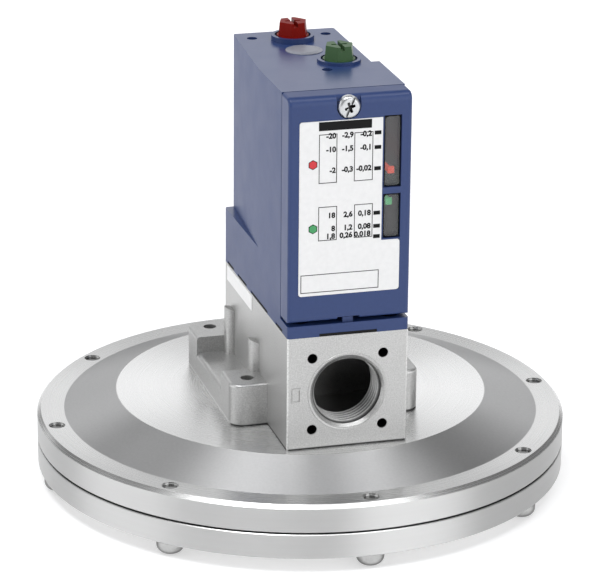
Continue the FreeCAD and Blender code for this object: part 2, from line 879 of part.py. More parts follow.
def housing():
    body = new_body("housing")
    add(body, "z", z_joint, z_top, rectangle(-half_width, half_width, y_housing, y_rear))
    add(body, "z", z_joint, z_band, rectangle(-half_width, half_width, y_front, y_housing))
    for side in (1, -1):
        cut(body, "z", z_ledge, z_top,
            rectangle(x_narrow * side, (half_width + 1) * side, -s.flank_recess_reach, y_rear + 1))
    round_edges(body, s.housing_edge_round, lambda edge: runs_along(edge, "z")
                and (near(edge.BoundBox.YMin, y_rear) or near(edge.BoundBox.YMin, y_front)))
    hollow_housing(body)
    raise_collars(body)
    drill_housing(body)


def hollow_housing(body):
    y_step = -s.flank_recess_reach - s.housing_wall
    cut(body, "z", z_joint, z_ledge - s.housing_wall, rectangle(-x_wall, x_wall, y_step, y_back_wall))
    cut(body, "z", z_ledge - s.housing_wall, z_roof,
        rectangle(-x_narrow_wall, x_narrow_wall, y_step, y_back_wall))
    y_sill = y_housing + s.housing_wall
    cut(body, "z", z_joint, z_roof, rectangle(-x_wall, x_wall, y_sill, y_step))
    cut(body, "z", z_cover + s.housing_wall, z_roof, rectangle(-x_wall, x_wall, y_housing, y_sill))
    half_lug = s.lug_length / 2
    for across, along in rear_housing_screws:
        add(body, "z", z_joint, z_joint + s.lug_thickness,
            rectangle(across - half_lug, across + half_lug, along - half_lug, along + half_lug))
    boss = s.cover_screw_recess_width / 2 + s.cover_screw_boss_wall
    add(body, "y", y_housing, y_housing + s.cover_screw_thread_length + 1,
        rectangle(x_screw - boss, x_screw + boss, z_screw - boss, z_roof))
    cut(body, "y", y_housing, y_housing + s.cover_screw_thread_length,
        circles([(x_screw, z_screw)], s.cover_screw_diameter + 2 * s.running_clearance))
    rebate = s.gasket_setback
    outer = rectangle(-half_width + rebate, half_width - rebate, y_front + rebate, y_rear - rebate)
    cut(body, "z", z_joint, z_joint + s.gasket_thickness, outer)
    cut(body, "z", z_joint, z_joint + s.gasket_tab_height,
        *gasket_slots(half_width - s.gasket_slot_depth, half_width + 1,
                      y_front - 1, y_front + s.gasket_slot_depth))


def raise_collars(body):
    range_place = [(0, s.range_screw_reach)]
    differential_place = [(s.differential_screw_across, -s.differential_screw_reach)]
    for centre, rise in ((range_place, s.range_collar_height),
                         (differential_place, s.differential_collar_height)):
        add(body, "z", z_top, z_top + rise, circles(centre, s.collar_diameter),
            circles(centre, s.collar_bore_diameter))
        cut(body, "z", z_roof, z_top, circles(centre, s.knob_hole_diameter))


def drill_housing(body):
    vent = [(0, -s.vent_plug_reach)]
    blind = mirrored(s.blind_hole_spacing / 2, s.blind_hole_rear_reach)
    blind += [(0.8, -s.blind_hole_front_reach)]
    cut(body, "z", z_roof, z_top, circles(vent, s.vent_stem_diameter + 2 * s.running_clearance))
    cut(body, "z", z_top - s.blind_hole_depth, z_top, circles(blind, s.blind_hole_diameter))
    cut(body, "z", z_joint, z_joint + s.lug_thickness,
        circles(front_housing_screws + rear_housing_screws,
                s.cover_screw_diameter + 2 * s.free_clearance))
    cut(body, "z", z_joint + s.lug_thickness, z_band,
        circles(front_housing_screws, s.small_head_diameter + 2 * s.free_clearance))
    hook = s.hook_width / 2
    add(body, "z", z_band, z_cover + s.hook_notch_height / 2,
        rectangle(-hook, hook, y_front + s.hook_setback, y_front + s.hook_setback + s.hook_thickness))


def housing_gasket():
    body = new_body("housing_gasket")
    outer_x = half_width - s.gasket_setback - s.running_clearance
    front = y_front + s.gasket_setback + s.running_clearance
    rear = y_rear - s.gasket_setback - s.running_clearance
    inset = s.gasket_width
    add(body, "z", z_joint, z_joint + s.gasket_thickness,
        rectangle(-outer_x, outer_x, front, rear),
        rectangle(-outer_x + inset, outer_x - inset, front + inset, rear - inset))
    tab_root = s.gasket_slot_depth - s.running_clearance
    add(body, "z", z_joint, z_joint + s.gasket_tab_height - s.running_clearance,
        *gasket_slots(half_width - tab_root, half_width - s.gasket_tab_setback,
                      y_front + s.gasket_tab_setback, y_front + tab_root, s.running_clearance))


def housing_screws():
    body = new_body("housing_screws")
    z_head = z_joint + s.lug_thickness
    places = front_housing_screws + rear_housing_screws
    add(body, "z", z_head, z_head + s.small_head_height, circles(places, s.small_head_diameter))
    add(body, "z", z_deck + s.thread_end_gap, z_head, circles(places, s.cover_screw_diameter))


def sealing_plug():
    z_stem = z_roof - 1
    cap = s.vent_plug_diameter / 2
    body = revolve_at("sealing_plug", [
        (0, z_stem),
        (s.vent_stem_diameter / 2, z_stem),
        (s.vent_stem_diameter / 2, z_top),
        (cap, z_top),
        (cap, z_top + s.vent_plug_rise / 3),
        (cap * 0.75, z_top + s.vent_plug_rise),
        (0, z_top + s.vent_plug_rise),
    ], 0, -s.vent_plug_reach)
    return body


# Front cover, windows and scale plate

def front_cover():
    body = new_body("front_cover")
    add(body, "y", y_front, y_cover, rectangle(-half_width, half_width, z_cover, z_top))
    round_edges(body, s.cover_top_round, lambda edge: runs_along(edge, "x")
                and near(edge.BoundBox.YMin, y_front) and near(edge.BoundBox.ZMin, z_top))
    round_edges(body, s.cover_edge_round, lambda edge: near(edge.BoundBox.YMin, y_front)
                and (runs_along(edge, "z") or runs_along(edge, "x"))
                and edge.BoundBox.ZMin < z_top.value - s.cover_top_round.value - 1)
    inner_front = y_front + s.cover_front_wall
    cut(body, "y", inner_front, y_cover,
        rectangle(-x_wall, x_wall, z_cover + s.housing_wall, z_roof))
    round_edges(body, s.cover_top_round - s.cover_front_wall, lambda edge: runs_along(edge, "x")
                and near(edge.BoundBox.YMin, inner_front) and near(edge.BoundBox.ZMin, z_roof))
    add_screw_boss(body)
    open_windows(body)
    cut(body, "y", y_front, y_front + s.plate_sheet, plate_outline(-s.running_clearance))
    notch = s.hook_notch_width / 2
    cut(body, "y", y_front, y_front + s.hook_setback + s.hook_thickness + s.free_clearance,
        rectangle(-notch, notch, z_cover - 1, z_cover + s.hook_notch_height))


def add_screw_boss(body):
    """Cup for the captive screw, open towards the rounded top edge."""
    half = s.cover_screw_recess_width / 2
    boss = half + s.cover_screw_boss_wall
    seat = y_front + s.cover_screw_recess_depth
    add(body, "y", y_front + s.cover_front_wall, seat + s.cover_screw_seat_wall,
        rectangle(x_screw - boss, x_screw + boss, z_screw - boss, z_roof))
    cut(body, "y", y_front, seat, circles([(x_screw, z_screw)], s.cover_screw_recess_width))
    cut(body, "y", y_front, seat, rectangle(x_screw - half, x_screw + half, z_screw, z_top + 1))
    cut(body, "y", seat, y_cover,
        circles([(x_screw, z_screw)], s.cover_screw_diameter + 2 * s.running_clearance))


def window_outlines(grow):
    left, right = s.window_left - grow, s.window_right + grow
    upper = rectangle(left, right, s.range_window_bottom - grow, s.range_window_top + grow)
    lower = rectangle(left, right, s.differential_window_bottom - grow, s.differential_window_top + grow)
    return upper, lower


def open_windows(body):
    cut(body, "y", y_front, y_front + s.cover_front_wall, *window_outlines(size(0)))


def window_pane(name, number):
    """A pane with a flange behind the cover's wall."""
    body = new_body(name)
    pane = window_outlines(-s.running_clearance)[number]
    flange = window_outlines(s.window_flange)[number]
    add(body, "y", y_front + s.window_setback, y_front + s.cover_front_wall, pane)
    round_edges(body, s.window_round, lambda edge: runs_along(edge, "y"))
    add(body, "y", y_front + s.cover_front_wall, y_front + s.cover_front_wall + s.window_thickness,
        flange)


def plate_outline(shrink):
    left, right = s.plate_left + shrink, s.plate_right - shrink
    low, high = s.plate_bottom + shrink, s.plate_top - shrink
    step, shelf = s.plate_step - shrink, s.plate_shelf - shrink
    return polygon((left, low), (right, low), (right, shelf), (step, shelf), (step, high), (left, high))


def scale_plate():
    body = new_body("scale_plate")
    add(body, "y", y_front, y_front + s.plate_sheet, plate_outline(size(0)))
    round_edges(body, s.plate_corner_round, lambda edge: runs_along(edge, "y")
                and not near(edge.BoundBox.XMin, s.plate_step))


def cover_gasket():
    """Thin seal in the seam between cover and housing."""
    body = new_body("cover_gasket")
    inset, strip = s.seam_gasket_inset, s.seam_gasket_width
    outer = half_width - inset
    inner = outer - strip
    low, high = z_cover + inset, z_top - inset
    add(body, "y", y_cover, y_housing,
        rectangle(-outer, outer, low, high), rectangle(-inner, inner, low + strip, high - strip))


def cover_screw():
    """Captive screw through the cover's cup into the housing."""
    body = new_body("cover_screw")
    seat = y_front + s.cover_screw_recess_depth
    centre = [(x_screw, z_screw)]
    add(body, "y", seat - s.cover_screw_head_height, seat, circles(centre, s.cover_screw_head_diameter))
    round_edges(body, s.cover_screw_head_height / 2, lambda edge: is_circle(edge)
                and near(edge.BoundBox.YMax, seat - s.cover_screw_head_height))
    add(body, "y", seat, y_housing + s.cover_screw_thread_length - s.thread_end_gap,
        circles(centre, s.cover_screw_diameter))


# Adjusting screws, nuts, pointers and springs

def adjusting_screw(name, across, along, thread, knob_level, thread_end):
    """Six-sided tapered head with a cross slot, neck with a seal groove, collar and thread."""
    body = new_body(name)
    neck = s.knob_hole_diameter / 2 - s.free_clearance
    groove = neck - s.seal_section * 0.8
    z_collar = s.frame_top_level
    z_neck = z_collar + s.screw_collar_height
    z_groove = z_roof + s.seal_groove_rise
    revolve(body, [
        (0, thread_end),
        (thread / 2, thread_end),
        (thread / 2, z_collar),
        (neck + 0.6, z_collar),
        (neck + 0.6, z_neck - 0.2),
        (neck, z_neck - 0.2),
        (neck, z_groove),
        (groove, z_groove),
        (groove, z_groove + s.seal_section),
        (neck, z_groove + s.seal_section),
        (neck, knob_level),
        (0, knob_level),
    ])
    add_head(body, knob_level)
    place(body, across, along)
    return body


def add_head(body, level):
    before = volume_of(body)
    top = level + s.knob_height
    sections = []
    for height, width in ((level, s.knob_base_width), (top, s.knob_top_width)):
        sketch = new_sketch(body, "z", height)
        hexagon((size(0), size(0)), width / 2, 10)(sketch)
        sections.append(sketch)
    loft = body.newObject("PartDesign::AdditiveLoft", f"{body.Name}_head")
    loft.Profile = sections[0]
    loft.Sections = [sections[1]]
    loft.Ruled = True
    settle(body, before, True)
    half_slot = s.knob_slot_width / 2
    half_cross = s.knob_cross_length / 2
    reach = s.knob_base_width
    cut(body, "z", top - s.knob_slot_depth, top, rectangle(-half_slot, half_slot, -reach, reach))
    cut(body, "z", top - s.knob_slot_depth * 1.6, top,
        rectangle(-half_cross, half_cross, -half_slot * 0.8, half_slot * 0.8))


def seal_ring(name, across, along):
    """Rubber ring of eight-sided section in the neck's groove."""
    low = z_roof + s.seal_groove_rise + s.seal_gap
    high = low + s.seal_section - 2 * s.seal_gap
    outer = s.knob_hole_diameter / 2 - s.seal_gap
    inner = outer - (high - low)
    bevel = s.seal_section * 0.3
    revolve_at(name, [
        (inner + bevel, low),
        (outer - bevel, low),
        (outer, low + bevel),
        (outer, high - bevel),
        (outer - bevel, high),
        (inner + bevel, high),
        (inner, high - bevel),
        (inner, low + bevel),
    ], across, along)


def retaining_clip(name, across, along, thread):
    """Spring washer pushed on below the frame's top plate."""
    z_high = s.frame_top_level - s.frame_sheet - s.clip_gap
    z_low = z_high - s.clip_thickness
    revolve_at(name, [
        (thread / 2 + s.running_clearance, z_low),
        (thread / 2 + 2, z_low),
        (thread / 2 + 2, z_high),
        (thread / 2 + s.running_clearance, z_high),
    ], across, along)


def adjusting_nut(name, across, along, thread, setting, spring_bore, half_across, half_along):
    body = new_body(name)
    centre = [(across, along)]
    low, high = setting - s.nut_thickness / 2, setting + s.nut_thickness / 2
    hole = circles(centre, thread + 2 * s.running_clearance)
    add(body, "z", low, high,
        rectangle(across - half_across, across + half_across, along - half_along, along + half_along), hole)
    add(body, "z", low - s.nut_boss_height, low, circles(centre, spring_bore), hole)
    return body


def pointer(name, setting, start, along, overhang):
    """Bent strip from the nut's side forward to the window, ending in a square tip."""
    body = new_body(name)
    half = s.pointer_tip_height / 2
    x_low, x_high = s.pointer_plane - s.pointer_sheet / 2, s.pointer_plane + s.pointer_sheet / 2
    y_tip = y_front + s.cover_front_wall + s.window_thickness + s.pointer_gap
    add(body, "z", setting - s.pointer_strip_width / 2, setting + s.pointer_strip_width / 2,
        polygon((start, along - s.pointer_sheet), (x_low, along - s.pointer_sheet), (x_low, y_tip),
                (x_high, y_tip), (x_high, along), (start, along)))
    x_tip = x_high + overhang
    add(body, "z", setting - half, setting + half,
        rectangle(x_tip - s.pointer_width, x_tip, y_tip, y_tip + s.pointer_sheet))


COIL_STEPS = 12


def inside_coil(diameter, wire):
    """Diameter that stays clear of the flats between the coil's wire sections."""
    return (diameter - 2 * wire) * math.cos(math.pi / COIL_STEPS) - 2 * s.running_clearance


def coil_spring(name, across, along, low, high, diameter, wire, turns):
    """Close-wound tension spring: six-sided wire sections joined by flat facets."""
    sides, steps = 6, COIL_STEPS
    radius = (diameter.value - wire.value) / 2
    rise = high.value - low.value - wire.value
    sections = []
    for index in range(int(turns.value) * steps + 1):
        share = index / (turns.value * steps)
        angle = 2 * math.pi * index / steps
        centre_z = low.value + wire.value / 2 + rise * share
        corners = []
        for side in range(sides + 1):
            around = 2 * math.pi * side / sides
            reach = radius + wire.value / 2 * math.cos(around)
            corners.append(FreeCAD.Vector(reach * math.cos(angle), reach * math.sin(angle),
                                          centre_z + wire.value / 2 * math.sin(around)))
        sections.append(Part.makePolygon(corners))
    spring = doc.addObject("Part::Feature", name)
    spring.Label = name
    spring.Shape = Part.makeLoft(sections, True, True)
    spring.Placement.Base = FreeCAD.Vector(size(across).value, size(along).value, 0)
    PIECES.append(spring)


def spring_anchor(name, across, along, thread, spring_bore):
    """Plug that holds the spring's lower end on the lever, with a stud through the lever."""
    revolve_at(name, [
        (0, z_lever - s.anchor_stud_reach),
        (thread / 2, z_lever - s.anchor_stud_reach),
        (thread / 2, z_lever_top),
        (spring_bore / 2 + s.anchor_flange, z_lever_top),
        (spring_bore / 2 + s.anchor_flange, z_anchor),
        (spring_bore / 2, z_anchor),
        (spring_bore / 2, z_anchor + s.anchor_plug_height),
        (0, z_anchor + s.anchor_plug_height),
    ], across, along)


def adjusting_trains():
    range_bore = inside_coil(s.range_spring_diameter, s.range_spring_wire)
    differential_bore = inside_coil(s.differential_spring_diameter, s.differential_spring_wire)
    y_range = s.range_screw_reach
    x_diff, y_diff = s.differential_screw_across, -s.differential_screw_reach
    nut_bottom = s.range_setting - s.nut_thickness / 2
    adjusting_screw("range_screw", 0, y_range, s.range_screw_diameter, s.range_knob_level,
                    nut_bottom - s.nut_boss_height - s.range_thread_spare)
    seal_ring("range_seal", 0, y_range)
    retaining_clip("range_clip", 0, y_range, s.range_screw_diameter)
    adjusting_nut("range_nut", size(0), y_range, s.range_screw_diameter, s.range_setting,
                  range_bore, s.range_nut_width / 2, s.range_nut_depth / 2)
    pointer("range_pointer", s.range_setting, s.range_nut_width / 2, y_range, s.range_tip_overhang)
    coil_spring("range_spring", 0, y_range, z_anchor, nut_bottom,
                s.range_spring_diameter, s.range_spring_wire, s.range_spring_turns)
    spring_anchor("range_anchor", 0, y_range, s.range_stud_diameter, range_bore)

    diff_bottom = s.differential_setting - s.nut_thickness / 2
    adjusting_screw("differential_screw", x_diff, y_diff, s.differential_screw_diameter,
                    s.differential_knob_level,
                    diff_bottom - s.nut_boss_height - s.differential_thread_spare)
    seal_ring("differential_seal", x_diff, y_diff)
    retaining_clip("differential_clip", x_diff, y_diff, s.differential_screw_diameter)
    adjusting_nut("differential_nut", x_diff, y_diff, s.differential_screw_diameter,
                  s.differential_setting, differential_bore,
                  s.differential_nut_width / 2, s.differential_nut_width / 2)
    pointer("differential_pointer", s.differential_setting, x_diff + s.differential_nut_width / 2,
            y_diff, s.differential_tip_overhang)
    coil_spring("differential_spring", x_diff, y_diff, z_anchor, diff_bottom,
                s.differential_spring_diameter, s.differential_spring_wire,
                s.differential_spring_turns)
    spring_anchor("differential_anchor", x_diff, y_diff, s.differential_stud_diameter,
                  differential_bore)


# Frame, lever and snap switch

def frame_bracket():
    """Folded steel frame: foot, back and top plates, and a left cheek that carries the switch."""
    body = new_body("frame_bracket")
    half = s.frame_width / 2
    y_back = y_rear - s.gasket_setback - s.gasket_width - 2 * s.running_clearance
    y_inner = y_back - s.frame_sheet
    z_under = s.frame_top_level - s.frame_sheet
    lug_front = y_back_wall - s.lug_length - s.free_clearance
    add(body, "z", z_joint, z_frame,
        rectangle(-x_cheek, x_cheek, y_pivot - s.ear_length / 2, lug_front))
    narrow = x_wall - s.lug_length - s.free_clearance
    add(body, "z", z_joint, z_frame, rectangle(-narrow, narrow, lug_front, y_back))
    add(body, "y", y_inner, y_back, rectangle(-narrow, narrow, z_frame, s.frame_top_level))
    add(body, "z", z_under, s.frame_top_level,
        rectangle(-half, half, -s.frame_front_reach, y_inner))
    ear_low, ear_high = y_pivot - s.ear_length / 2, y_pivot + s.ear_length / 2
    add(body, "x", x_cheek - s.frame_sheet, x_cheek,
        rectangle(ear_low, ear_high, z_frame, z_pivot + s.ear_length / 2))
    add(body, "x", -x_cheek, -x_cheek + s.frame_sheet,
        polygon((ear_high, z_frame), (ear_high, z_pivot + s.ear_length / 2),
                (-s.frame_front_reach + s.cheek_top_setback, s.cheek_top),
                (-s.cheek_front_reach, s.cheek_top), (-s.cheek_front_reach, s.switch_level),
                (ear_low, z_pivot - 1), (ear_low, z_frame)))
    drill_frame(body)


def drill_frame(body):
    pin = s.pivot_pin_diameter + 2 * s.running_clearance
    cut(body, "x", -x_cheek, x_cheek, circles([(y_pivot, z_pivot)], pin))
    cut(body, "z", z_joint, z_frame, circles([(0, 0)], s.rod_diameter + 2))
    z_under = s.frame_top_level - s.frame_sheet
    cut(body, "z", z_under, s.frame_top_level,
        circles([(0, s.range_screw_reach)], s.range_screw_diameter + 2 * s.running_clearance),
        circles([(s.differential_screw_across, -s.differential_screw_reach)],
                s.differential_screw_diameter + 2 * s.running_clearance))
    cut(body, "z", z_joint, z_frame,
        circles(frame_screws_places, s.cover_screw_diameter + 2 * s.free_clearance))


def frame_screws():
    body = new_body("frame_screws")
    add(body, "z", z_frame, z_frame + s.small_head_height,
        circles(frame_screws_places, s.small_head_diameter))
    add(body, "z", z_deck + s.thread_end_gap, z_frame,
        circles(frame_screws_places, s.cover_screw_diameter))


def pivot_pin():
    body = new_body("pivot_pin")
    centre = [(y_pivot, z_pivot)]
    end = s.frame_side_gap * 0.75
    add(body, "x", -x_cheek - end, x_cheek, circles(centre, s.pivot_pin_diameter))
    add(body, "x", x_cheek, x_cheek + end, circles(centre, s.pivot_pin_diameter + 1.6))


def balance_lever():
    """Pressed channel that rocks on the pivot pin."""
    body = new_body("balance_lever")
    half = s.lever_width / 2
    front, rear = -s.lever_front_reach, s.lever_rear_reach
    add(body, "z", z_lever, z_lever_top, rectangle(-half, half, front, rear))
    drop = z_pivot - s.pivot_pin_diameter
    for side in (1, -1):
        add(body, "x", half * side if side < 0 else half - s.lever_sheet,
            -half + s.lever_sheet if side < 0 else half,
            polygon((front + s.lever_web_front_gap, z_lever), (y_pivot - s.lever_web_half, drop),
                    (y_pivot + s.lever_web_half, drop), (rear - s.lever_web_rear_gap, z_lever)))
    hole = s.pivot_pin_diameter + 2 * s.running_clearance
    cut(body, "x", -half, half, circles([(y_pivot, z_pivot)], hole))
    cut(body, "z", z_lever, z_lever_top,
        circles([(0, 0)], s.rod_thread_diameter + 4 * s.free_clearance),
        circles([(0, s.range_screw_reach)], s.range_stud_diameter + 2 * s.running_clearance),
        circles([(s.differential_screw_across, -s.differential_screw_reach)],
                s.differential_stud_diameter + 2 * s.running_clearance))


def snap_switch():
    """Snap switch block, its plunger, terminals and screws."""
    x_left = -x_cheek + s.frame_sheet
    x_right = x_left + s.switch_width
    y_face = -s.switch_front_reach
    z_high = s.switch_level + s.switch_height
    block = new_body("switch_block")
    add(block, "z", s.switch_level, z_high, rectangle(x_left, x_right, y_face, y_face + s.switch_depth))
    round_edges(block, s.casting_edge_round, lambda edge: runs_along(edge, "z"))
    plunger_place = [(s.plunger_across, -s.plunger_reach)]
    cut(block, "z", s.switch_level, s.switch_level + s.plunger_guide_depth + s.plunger_travel,
        circles(plunger_place, s.plunger_diameter + 2 * s.running_clearance))
    plunger = new_body("switch_plunger")
    add(plunger, "z", z_lever_top + s.free_clearance, s.switch_level + s.plunger_guide_depth,
        circles(plunger_place, s.plunger_diameter))
    round_edges(plunger, s.plunger_diameter / 4, lambda edge: is_circle(edge)
                and near(edge.BoundBox.ZMax, z_lever_top + s.free_clearance))
    middle = (x_left + x_right) / 2
    clamps = new_body("terminal_clamps")
    screws = new_body("terminal_screws")
    for row in range(int(s.terminal_count.value)):
        level = s.switch_level + s.terminal_pitch * (row + 0.7)
        half = s.terminal_clamp_width / 2
        half_high = s.terminal_pitch / 2 - s.terminal_gap
        y_clamp = y_face - s.terminal_clamp_sheet
        add(clamps, "y", y_clamp, y_face,
            rectangle(middle - half, middle + half, level - half_high, level + half_high))
        add(screws, "y", y_clamp - s.terminal_head_height, y_clamp,
            circles([(middle, level)], s.terminal_screw_diameter))
    mounting = new_body("switch_screws")
    inset = s.terminal_screw_diameter
    places = [(y_face + inset, s.switch_level + inset), (y_face + s.switch_depth - inset, z_high - inset)]
    add(mounting, "x", -x_cheek - s.terminal_head_height, -x_cheek,
        circles(places, s.terminal_screw_diameter))


lower_flange()
upper_flange()
diaphragm()
diaphragm_stack()
flange_screws()
base_casting()
base_screws()
rod_guide()
earth_screw()
marker_plate()
housing()
housing_gasket()
housing_screws()
sealing_plug()
front_cover()
cover_gasket()
cover_screw()
window_pane("range_window", 0)
window_pane("differential_window", 1)
scale_plate()
adjusting_trains()
frame_bracket()
frame_screws()
pivot_pin()
balance_lever()
snap_switch()

doc.recompute()


# Check every object, then write one file for each piece

def check_and_write():
    for item in doc.Objects:
        if "Invalid" in item.State or "Error" in item.State:
            raise RuntimeError(f"{item.Label} failed to recompute")
    os.makedirs("parts", exist_ok=True)
    for piece in PIECES:
        if piece.Shape.isNull() or not piece.Shape.isValid() or not piece.Shape.Solids:
            raise RuntimeError(f"{piece.Label} has no valid solid")
    for piece in PIECES:
        piece.Shape.exportStep(f"parts/{piece.Label}.step")
        print(f"{piece.Label}: {len(piece.Shape.Solids)} solids, {piece.Shape.Volume:.1f} mm3")


check_and_write()
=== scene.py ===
import json
import math

import bmesh
import bpy
from mathutils import Matrix, Vector


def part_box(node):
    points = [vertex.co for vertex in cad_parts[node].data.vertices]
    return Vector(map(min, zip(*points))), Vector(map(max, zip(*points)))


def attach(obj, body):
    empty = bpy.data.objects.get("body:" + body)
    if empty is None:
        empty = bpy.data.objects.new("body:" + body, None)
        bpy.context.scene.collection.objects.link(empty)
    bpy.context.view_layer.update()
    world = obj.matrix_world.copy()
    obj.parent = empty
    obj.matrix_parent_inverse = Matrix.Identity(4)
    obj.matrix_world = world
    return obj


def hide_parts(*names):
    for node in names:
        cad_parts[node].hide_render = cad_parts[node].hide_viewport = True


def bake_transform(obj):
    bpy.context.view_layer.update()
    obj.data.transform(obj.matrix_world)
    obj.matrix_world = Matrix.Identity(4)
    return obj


# Vacuum switch. Lengths are in millimetres and become metres where a mesh, a mask or a bump is
# made. Z is up, the cover with the scale plate faces -Y, and the origin is on the flanges' axis.

MM = 0.001
COVER_FACE = -48.9
ENTRY = (0.0, 41.9)

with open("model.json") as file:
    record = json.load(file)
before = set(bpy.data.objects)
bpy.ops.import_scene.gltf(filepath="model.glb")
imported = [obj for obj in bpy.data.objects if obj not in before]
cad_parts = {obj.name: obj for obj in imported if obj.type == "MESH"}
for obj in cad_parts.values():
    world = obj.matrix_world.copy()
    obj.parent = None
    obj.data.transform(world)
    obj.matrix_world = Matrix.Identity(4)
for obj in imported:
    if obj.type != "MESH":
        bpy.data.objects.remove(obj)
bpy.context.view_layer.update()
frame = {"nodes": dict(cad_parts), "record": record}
NODES = frame["nodes"]
scene = bpy.context.scene


# Node graphs for materials

MIX_FACTOR, MIX_FIRST, MIX_SECOND, MIX_RESULT = 0, 6, 7, 2


class Graph:
    """One material's node graph round a Principled shader."""

    def __init__(self, name, **inputs):
        self.material = bpy.data.materials.new(name)
        self.material.use_nodes = True
        self.tree = self.material.node_tree
        self.shader = next(n for n in self.tree.nodes if n.type == "BSDF_PRINCIPLED")
        self.shade(**inputs)

    def add(self, kind, settings=None, **inputs):
        node = self.tree.nodes.new(kind)
        for key, value in (settings or {}).items():
            setattr(node, key, value)
        for key, value in inputs.items():
            self.feed(value, node.inputs[key.replace("_", " ")])
        return node

    def feed(self, value, socket):
        """Link a value to a socket if it comes from a node, or else set the socket to it."""
        if isinstance(value, bpy.types.NodeSocket):
            self.tree.links.new(value, socket)
        else:
            socket.default_value = value

    def shade(self, **inputs):
        """Feed the shader's own sockets."""
        for key, value in inputs.items():
            self.feed(value, self.shader.inputs[key.replace("_", " ")])

    def place(self):
        """Position on the part, in metres."""
        return self.add("ShaderNodeTexCoord").outputs["Object"]

    def parts(self, vector):
        return self.add("ShaderNodeSeparateXYZ", Vector=vector).outputs

    def math(self, operation, first, second=0.0):
        node = self.add("ShaderNodeMath", {"operation": operation})
        self.feed(first, node.inputs[0])
        self.feed(second, node.inputs[1])
        return node.outputs[0]

    def product(self, first, *others):
        for value in others:
            first = self.math("MULTIPLY", first, value)
        return first

    def distance(self, first, second):
        """Length of the hypotenuse over two values."""
        squares = [self.product(value, value) for value in (first, second)]
        return self.math("SQRT", self.math("ADD", *squares))

    def noise(self, vector, scale, detail=2.0, roughness=0.5):
        node = self.add("ShaderNodeTexNoise", Vector=vector, Scale=scale, Detail=detail,
                        Roughness=roughness)
        return node.outputs["Fac"]

    def stretch(self, vector, factors):
        node = self.add("ShaderNodeVectorMath", {"operation": "MULTIPLY"})
        self.feed(vector, node.inputs[0])
        self.feed(factors, node.inputs[1])
        return node.outputs[0]

    def step(self, value, low, high, start=0.0, end=1.0):
        """A smooth step from start to end as the value goes from low to high."""
        node = self.add("ShaderNodeMapRange", {"interpolation_type": "SMOOTHSTEP"})
        for index, number in enumerate((value, low, high, start, end)):
            self.feed(number, node.inputs[index])
        return node.outputs[0]

    def above(self, value, edge, soft, full=1.0):
        """A mask, full where a length is above an edge, that fades by the softness either side."""
        return self.step(value, (edge - soft) * MM, (edge + soft) * MM, 0.0, full)

    def below(self, value, edge, soft, full=1.0):
        """The same where the length is below the edge."""
        return self.step(value, (edge - soft) * MM, (edge + soft) * MM, full, 0.0)

    def mix(self, share, first, second):
        node = self.add("ShaderNodeMix", {"data_type": "RGBA"})
        self.feed(share, node.inputs[MIX_FACTOR])
        self.feed(first, node.inputs[MIX_FIRST])
        self.feed(second, node.inputs[MIX_SECOND])
        return node.outputs[MIX_RESULT]

    def bump(self, height, strength, distance):
        node = self.add("ShaderNodeBump", Height=height, Strength=strength, Distance=distance * MM)
        self.shade(Normal=node.outputs[0])


def rgba(colour, factor=1.0):
    return (*(min(1.0, c * factor) for c in colour), 1.0)


def grey(level, less_blue=0.0):
    return (level, level, level - less_blue, 1.0)


def warm_grey(level):
    return grey(level, 0.005)


def moulded(name, colour, rough=0.42, worn=0.10, grain=0.06, sheen=0.42, top_sheen=None, painted_glow=0.0):
    """Satin moulding: broad and fine colour variation, spark-eroded grain, a shinier top or not, and
    a painted glow in its own colour or none.
    """
    graph = Graph(name, Emission_Color=rgba(colour), Emission_Strength=painted_glow)
    place = graph.place()
    broad = graph.noise(place, 38.0, 3.0)
    fine = graph.noise(place, 900.0, 3.0, 0.6)
    shade = graph.mix(broad, rgba(colour, 1 - worn), rgba(colour, 1 + worn))
    shade = graph.mix(graph.step(fine, 0.35, 0.75, 0.0, 0.25), shade, rgba(colour, 1.25))
    gloss = graph.step(graph.noise(place, 120.0, 4.0), 0.2, 0.8, rough - 0.02, rough + 0.03)
    if top_sheen:
        upward = graph.parts(graph.add("ShaderNodeNewGeometry").outputs["Normal"])[2]
        sheen = graph.step(upward, 0.85, 0.97, sheen, top_sheen)
        gloss = graph.product(gloss, graph.step(upward, 0.85, 0.97, 1.0, 0.7))
    graph.shade(Base_Color=shade, Specular_IOR_Level=sheen, Roughness=gloss)
    graph.bump(fine, grain, 0.2)
    return graph.material


